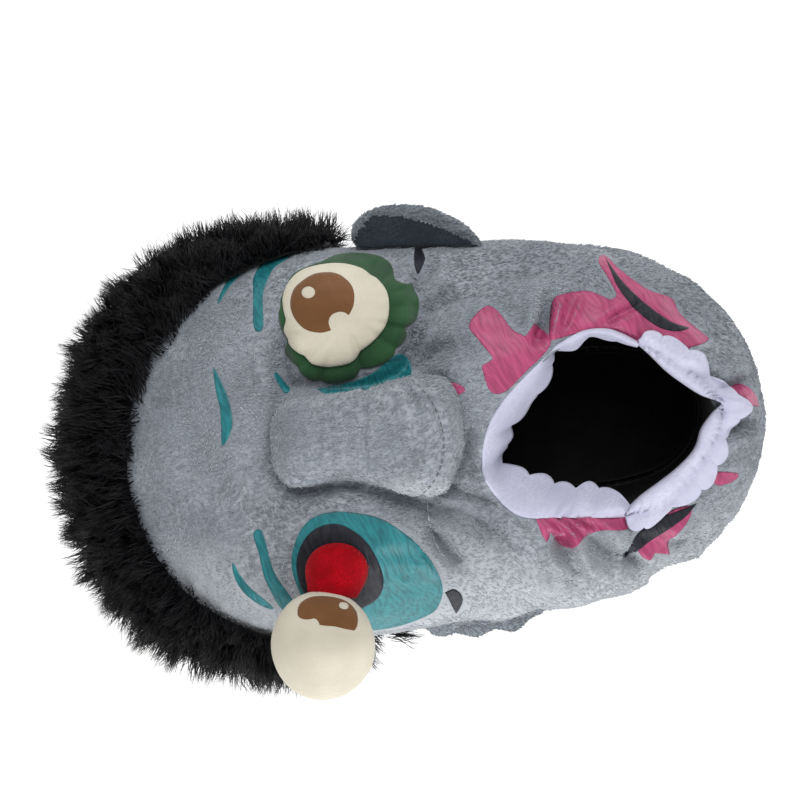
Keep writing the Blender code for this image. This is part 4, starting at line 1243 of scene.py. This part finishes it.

# %% [markdown]

# %% [markdown]
# The outsole is a thin foam sole under cloth, and the insole is a foam bed under the black lining.

# %% Sole
smooth_copy("outsole", "outsole_cloth", 2, SOLE_CLOTH)
insole = smooth_copy("insole", "insole_cloth", 2, BLACK_LINING)

# %% [markdown]
# The fur is long-pile cloth, sewn round the crown. A dark backing pad carries about twenty thousand
# strands in clumps whose tips lean together, each strand a thin tapering three-sided spine.

# %% Fur backing
BACKING_PASSES = 14
fur_pad = smooth_copy("fur", "fur_backing", 1, FUR_BACKING)
pad = bmesh.new()
pad.from_mesh(fur_pad.data)
every_way = {"use_axis_x": True, "use_axis_y": True, "use_axis_z": True}
for _ in range(BACKING_PASSES):
    bmesh.ops.smooth_vert(pad, verts=pad.verts, factor=0.5, **every_way)
pad.to_mesh(fur_pad.data)
pad.free()
print("fur backing", triangles(fur_pad), "triangles")

# %% [markdown]
# A strand is a three-sided spine of three lengths that tapers to a point. It bends twice on its way
# and droops a little towards its tip.


# %% Strands
STRAND_TAPER = ((0, 1.0), (0.3, 0.85), (0.62, 0.55), (1.0, 0))
STRAND_DROOP = 0.16


def grow(name, roots, ways, lengths, thick, curls, look, seed):
    """Closed tapering strands: roots, unit ways and lengths are one row each."""
    dice = np.random.default_rng(seed)
    count = len(roots)
    side = np.cross(ways, dice.normal(size=(count, 3)))
    side = unit(side)
    other = np.cross(ways, side)
    phase = dice.uniform(0, 6.28, count)
    rings = []
    for share, taper in STRAND_TAPER:
        bend = np.sin(phase + share * 3.4) - np.sin(phase)
        spot = roots + ways * (lengths * share)[:, None] + side * (bend * curls)[:, None]
        spot[:, 2] -= STRAND_DROOP * lengths * share**2
        if not taper:
            rings.append(spot[:, None, :])
            continue
        width = (thick * taper)[:, None]
        turns = [0, 2 * math.pi / 3, 4 * math.pi / 3]
        corners = [spot + (side * math.cos(t) + other * math.sin(t)) * width for t in turns]
        rings.append(np.stack(corners, axis=1))
    points = np.concatenate(rings, axis=1)
    points[:, :, 2] = np.maximum(points[:, :, 2], 1.0 * MM)
    per = points.shape[1]
    pattern = [(2, 1, 0)]
    for level in range(2):
        a = level * 3
        for i in range(3):
            j = (i + 1) % 3
            pattern += [(a + i, a + j, a + 3 + j), (a + i, a + 3 + j, a + 3 + i)]
    pattern += [(6, 7, 9), (7, 8, 9), (8, 6, 9)]
    faces = (np.array(pattern)[None] + (np.arange(count) * per)[:, None, None]).reshape(-1, 3)
    made = quick_mesh(name, points.reshape(-1, 3), faces, look)
    made.data.shade_smooth()
    return made


# %% [markdown]
# Strands cover the outward side of the backing. Along the seam at the toe they start further out and
# point away from the face. Each belongs to the nearest of about a thousand clumps, which share a
# direction and a length, and whose tips are drawn together.

# %% Strand roots
STRANDS = 22000
CLUMPS = 1100
STRAND_LONG = 16.0 * MM
FAR_SIDE_SHORTER = 3.5 * MM
CLUMP_DRAW = 0.66
ROOT_SUNK = 0.4 * MM
FUR_MIDDLE = np.array([-0.075, 0, 0.05])
FUR_SEAM = [
    (-40, 100), (-81, 93), (-105, 77), (-126, 56), (-138, 35), (-142, 16), (-141, 2),
    (-138, -18), (-128, -43), (-113, -63), (-94, -77), (-84, -83), (-45, -96),
]
SEAM_REACH = 16 * MM
SEAM_OUT = 6.5 * MM
SEAM_UP = 3.5 * MM
TOE_X = -0.092
TOE_FADE = 0.03

_, corners, cross = triangles_of(fur_pad)
centre = corners.mean(axis=1)
core = np.column_stack([np.maximum(centre[:, 0], -0.085), centre[:, 1] * 0.25, np.full(len(centre), 0.045)])
faces_out = ((centre - core) * unit(cross)).sum(axis=1) > 0.008
dice = np.random.default_rng(5)
roots, normals = scatter(corners, cross, np.linalg.norm(cross, axis=1) * faces_out, STRANDS, dice)
radial = unit((roots - FUR_MIDDLE) * (1, 1, 0))
gap, _ = distance_to(roots[:, :2], smooth_line(FUR_SEAM, closed=False), closed=False)
at_seam = np.clip(1 - gap / SEAM_REACH, 0, 1) * np.clip((TOE_X - roots[:, 0]) / TOE_FADE, 0, 1)
at_seam = at_seam[:, None]
roots += at_seam * (np.array([0, 0, SEAM_UP]) - radial * SEAM_OUT)
clump_root = roots[dice.integers(0, STRANDS, CLUMPS)]
nearest = np.empty(STRANDS, int)
BLOCK = 2000
for start in range(0, STRANDS, BLOCK):
    block = roots[start : start + BLOCK]
    nearest[start : start + BLOCK] = ((block[:, None] - clump_root[None]) ** 2).sum(axis=2).argmin(axis=1)
clump_way = dice.normal(size=(CLUMPS, 3)) * 0.42
clump_long = 0.66 + 0.85 * dice.random(CLUMPS) ** 2.4
ways = 0.62 * normals + (0.55 + 0.9 * at_seam) * radial + clump_way[nearest]
ways += dice.normal(size=(STRANDS, 3)) * 0.16
far_side = np.clip(roots[:, 1] / 0.1, 0, 1)
lengths = (STRAND_LONG - FAR_SIDE_SHORTER * far_side) * clump_long[nearest]
lengths *= dice.uniform(0.75, 1.15, STRANDS)
tips = roots + unit(ways) * lengths[:, None]
held = np.maximum(np.bincount(nearest, minlength=CLUMPS), 1)
clump_tip = np.column_stack([np.bincount(nearest, tips[:, k], CLUMPS) for k in range(3)]) / held[:, None]
tips += (clump_tip[nearest] - tips) * CLUMP_DRAW
lengths = np.linalg.norm(tips - roots, axis=1)
ways = unit(tips - roots)
thick = dice.uniform(0.27, 0.44, STRANDS) * MM
curls = dice.uniform(1.0, 3.4, STRANDS) * MM
half = STRANDS // 2
for k, part in enumerate((slice(0, half), slice(half, STRANDS))):
    shape = (ways[part], lengths[part], thick[part], curls[part])
    grow(f"fur_strands_{k + 1}", roots[part] - normals[part] * ROOT_SUNK, *shape, FUR_STRAND, 30 + k)
print("strands", STRANDS)

# %% [markdown]
# A few longer strands fly away from the mass, and one loose lock shows behind the hanging ball.

# %% Stray hairs
STRAYS = 900
LOCK_ROOT = np.array([-0.027, -0.0965, 0.050])
LOCK_HAIRS = 45
stray = dice.choice(STRANDS, STRAYS, replace=False)
stray_ways = ways[stray] + dice.normal(size=(STRAYS, 3)) * 0.30
stray_ways[:, 2] = np.abs(stray_ways[:, 2])
lock_ways = np.array([0.80, -0.22, 0.10]) + dice.normal(size=(LOCK_HAIRS, 3)) * 0.10
stray_roots = np.vstack([roots[stray], LOCK_ROOT + dice.normal(size=(LOCK_HAIRS, 3)) * 1.6 * MM])
stray_ways = np.vstack([stray_ways, lock_ways])
stray_ways = unit(stray_ways)
stray_long = np.concatenate([dice.uniform(0.015, 0.021, STRAYS), dice.uniform(0.010, 0.019, LOCK_HAIRS)])
stray_curl = dice.uniform(1.0, 3.0, STRAYS + LOCK_HAIRS) * MM
stray_thick = np.full(STRAYS + LOCK_HAIRS, 0.22 * MM)
grow("fur_strays", stray_roots, stray_ways, stray_long, stray_thick, stray_curl, FUR_STRAND, 44)

# %% [markdown]
# Minky shows its pile at this distance, so short tufts are laid over the plush. Each is a closed
# sliver of four triangles, combed along the cloth and leaning up from it by about thirty degrees.
# Their own material gives neighbouring tufts different tones.

# %% Pile material
def pile_look(name, low, high, shade, turned):
    made, tree, shader, place = new_material(name, roughness=0.95, specular=0.06)
    tuft_tone = noise(tree, place, 1.5, detail=2)
    area_tone = noise(tree, place, 46, (1.0, 1.6, 1.0), (0, 0, 0.6), detail=1)
    tuft = mix(tree, spread(tree, tuft_tone, 0.32, 0.70), linear(low), linear(high))
    shaded = mix(tree, 0.6, tuft, linear(shade))
    colour = mix(tree, spread(tree, area_tone, 0.38, 0.62), shaded, tuft)
    # Painted light: the tufts turn paler towards the front lamp's side, as the plush does.
    if turned:
        colour = mix(tree, painted_light_towards_front(tree, place, *turned), colour, linear(PAINTED_LIGHT_PALE))
    tree.links.new(colour, shader.inputs["Base Color"])
    shader.inputs["Sheen Weight"].default_value = 0.2
    return made


PILE = pile_look("minky_pile_grey", "#838A92", "#BAC0C8", "#666D75", HEAD_PAINTED_LIGHT)
# The nose's pile differs only in where its painted light falls.
NOSE_PILE = pile_look("minky_pile_nose", "#838A92", "#BAC0C8", "#666D75", NOSE_PAINTED_LIGHT)
# Painted shade: the ears' pile is painted darker than the head's.
SHADED_EAR_PILE = pile_look("shaded_minky_pile_ears", "#6B727A", "#989EA6", "#565D65", None)

# %% [markdown]
# Tufts stay off the prints, the felt and the sewn lines, and are thinner on the skin's underside.

# %% Pile tufts
TUFT_LONG = 1.9 * MM
TUFT_WIDE = 0.36 * MM
TUFT_LEAN = 0.42
TUFT_SUNK = 0.25 * MM
TUFTS = {"head_plush": 38500, "nose_plush": 4800, "ear_right_plush": 2400, "ear_left_plush": 1500}
LOWEST_TUFT = 0.012
UNDERSIDE_SHARE = 0.55
BED_SHARE = 0.12
BARE_LINES = {
    "nose_plush": ((NOSE_STITCH, 1.3), (NOSE_SEAM, 1.3)),
    "head_plush": ((CHEEK_STITCH, 1.3), (FRONT_SEAM, 2.0)),
}
FRONT_FELT = [p[:2] for p in FRONT_SEAM + FRONT_FREE[::-1]]
REAR_FELT = [p[:2] for p in REAR_INNER + REAR_OUTER[::-1]]


def tuft_places(thing, dice):
    """Roots and skin normals spread evenly over a piece's plush."""
    trio, corners, cross = triangles_of(thing)
    looks = np.array([t.material_index for t in thing.data.loop_triangles])
    centre = corners.mean(axis=1)
    weight = np.linalg.norm(cross, axis=1) * (looks == 0) * (centre[:, 2] > LOWEST_TUFT)
    plan = centre[:, :2]
    for line, bare_mm in BARE_LINES.get(thing.name, ()):
        weight *= distance_to(plan, smooth_line(line, closed=False), closed=False)[0] > bare_mm * MM
    if thing is head:
        weight *= bed[trio].mean(axis=1) < BED_SHARE
        for cover in (LID_SHAPE, FRONT_FELT, REAR_FELT):
            weight *= ~is_within(plan, smooth_line(cover))
        weight *= np.where(cross[:, 2] > 0, 1.0, UNDERSIDE_SHARE)
    return scatter(corners, cross, weight, TUFTS[thing.name], dice)


def lay_pile(name, things, look, seed):
    """Combed tufts over several pieces, as one piece of closed slivers."""
    dice = np.random.default_rng(seed)
    found = [tuft_places(thing, dice) for thing in things]
    roots, normals = (np.vstack([pair[k] for pair in found]) for k in (0, 1))
    swirl = 0.9 * lumps(roots, 90, seed=61) + 0.5 * lumps(roots, 28, seed=62)
    swirl += dice.normal(size=len(roots)) * 0.28 - 0.5
    combed = np.column_stack([np.cos(swirl), np.sin(swirl), np.full(len(roots), -0.35)])
    combed -= normals * (combed * normals).sum(axis=1)[:, None]
    combed = unit(combed)
    side = np.cross(normals, combed)
    long = TUFT_LONG * dice.uniform(0.7, 1.25, len(roots))[:, None]
    wide = TUFT_WIDE * dice.uniform(0.8, 1.3, len(roots))[:, None]
    lean = TUFT_LEAN + dice.normal(size=len(roots))[:, None] * 0.12
    tip = roots + combed * long + normals * long * lean
    heel = roots - normals * TUFT_SUNK
    back = heel + combed * wide * 0.3 + normals * wide * 1.3
    points = np.stack([heel + side * wide, heel - side * wide, back, tip], axis=1)
    sliver = np.array([(0, 1, 2), (0, 3, 1), (1, 3, 2), (2, 3, 0)])
    faces = (sliver[None] + (np.arange(len(roots)) * 4)[:, None, None]).reshape(-1, 3)
    pile = quick_mesh(name, points.reshape(-1, 3), faces, look)
    face_outward(pile)
    print(name, len(roots), "tufts", len(faces), "triangles")


lay_pile("head_pile", (head,), PILE, 77)
lay_pile("nose_pile", (nose,), NOSE_PILE, 79)
lay_pile("ear_pile", (ear_right, ear_left), SHADED_EAR_PILE, 78)

# %% [markdown]

# %% [markdown]
# The studio is plain white paper under soft light, a little stronger from the slipper's near side.

# %% Light and floor
floor_mesh = bpy.data.meshes.new("floor")
HALF_FLOOR = 3.0
corners = [(-1, -1), (1, -1), (1, 1), (-1, 1)]
floor_mesh.from_pydata([(x * HALF_FLOOR, y * HALF_FLOOR, -0.0002) for x, y in corners], [], [(0, 1, 2, 3)])
floor = bpy.data.objects.new("floor", floor_mesh)
bpy.context.scene.collection.objects.link(floor)
FLOOR_PAPER, _, paper_shader, _ = new_material("white_paper", roughness=0.9, specular=0.1)
paper_shader.inputs["Base Color"].default_value = linear("#FAFAFA")
paper_shader.inputs["Emission Color"].default_value = linear("#FFFFFF")
paper_shader.inputs["Emission Strength"].default_value = 0.45
floor_mesh.materials.append(FLOOR_PAPER)

world = bpy.data.worlds.new("studio")
world.use_nodes = True
world.node_tree.nodes["Background"].inputs["Color"].default_value = linear("#FBFBFA")
world.node_tree.nodes["Background"].inputs["Strength"].default_value = 0.50
bpy.context.scene.world = world
bpy.context.scene.view_settings.view_transform = "Standard"


def area_light(name, place, aim, size, power):
    light = bpy.data.lights.new(name, "AREA")
    light.size = size
    light.energy = power
    made = bpy.data.objects.new(name, light)
    made.location = place
    made.rotation_euler = (Vector(aim) - Vector(place)).to_track_quat("-Z", "Y").to_euler()
    bpy.context.scene.collection.objects.link(made)


area_light("soft_front", (0.1, -1.25, 0.75), (0, 0, 0.05), 0.7, 15)
area_light("soft_top", (0.2, 0.85, 1.35), (0, 0, 0), 0.9, 14)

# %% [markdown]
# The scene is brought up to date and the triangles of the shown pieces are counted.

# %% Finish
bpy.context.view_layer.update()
shown = [piece for piece in bpy.data.objects if piece.type == "MESH" and not piece.hide_render]
print("total triangles", sum(triangles(piece) for piece in shown))
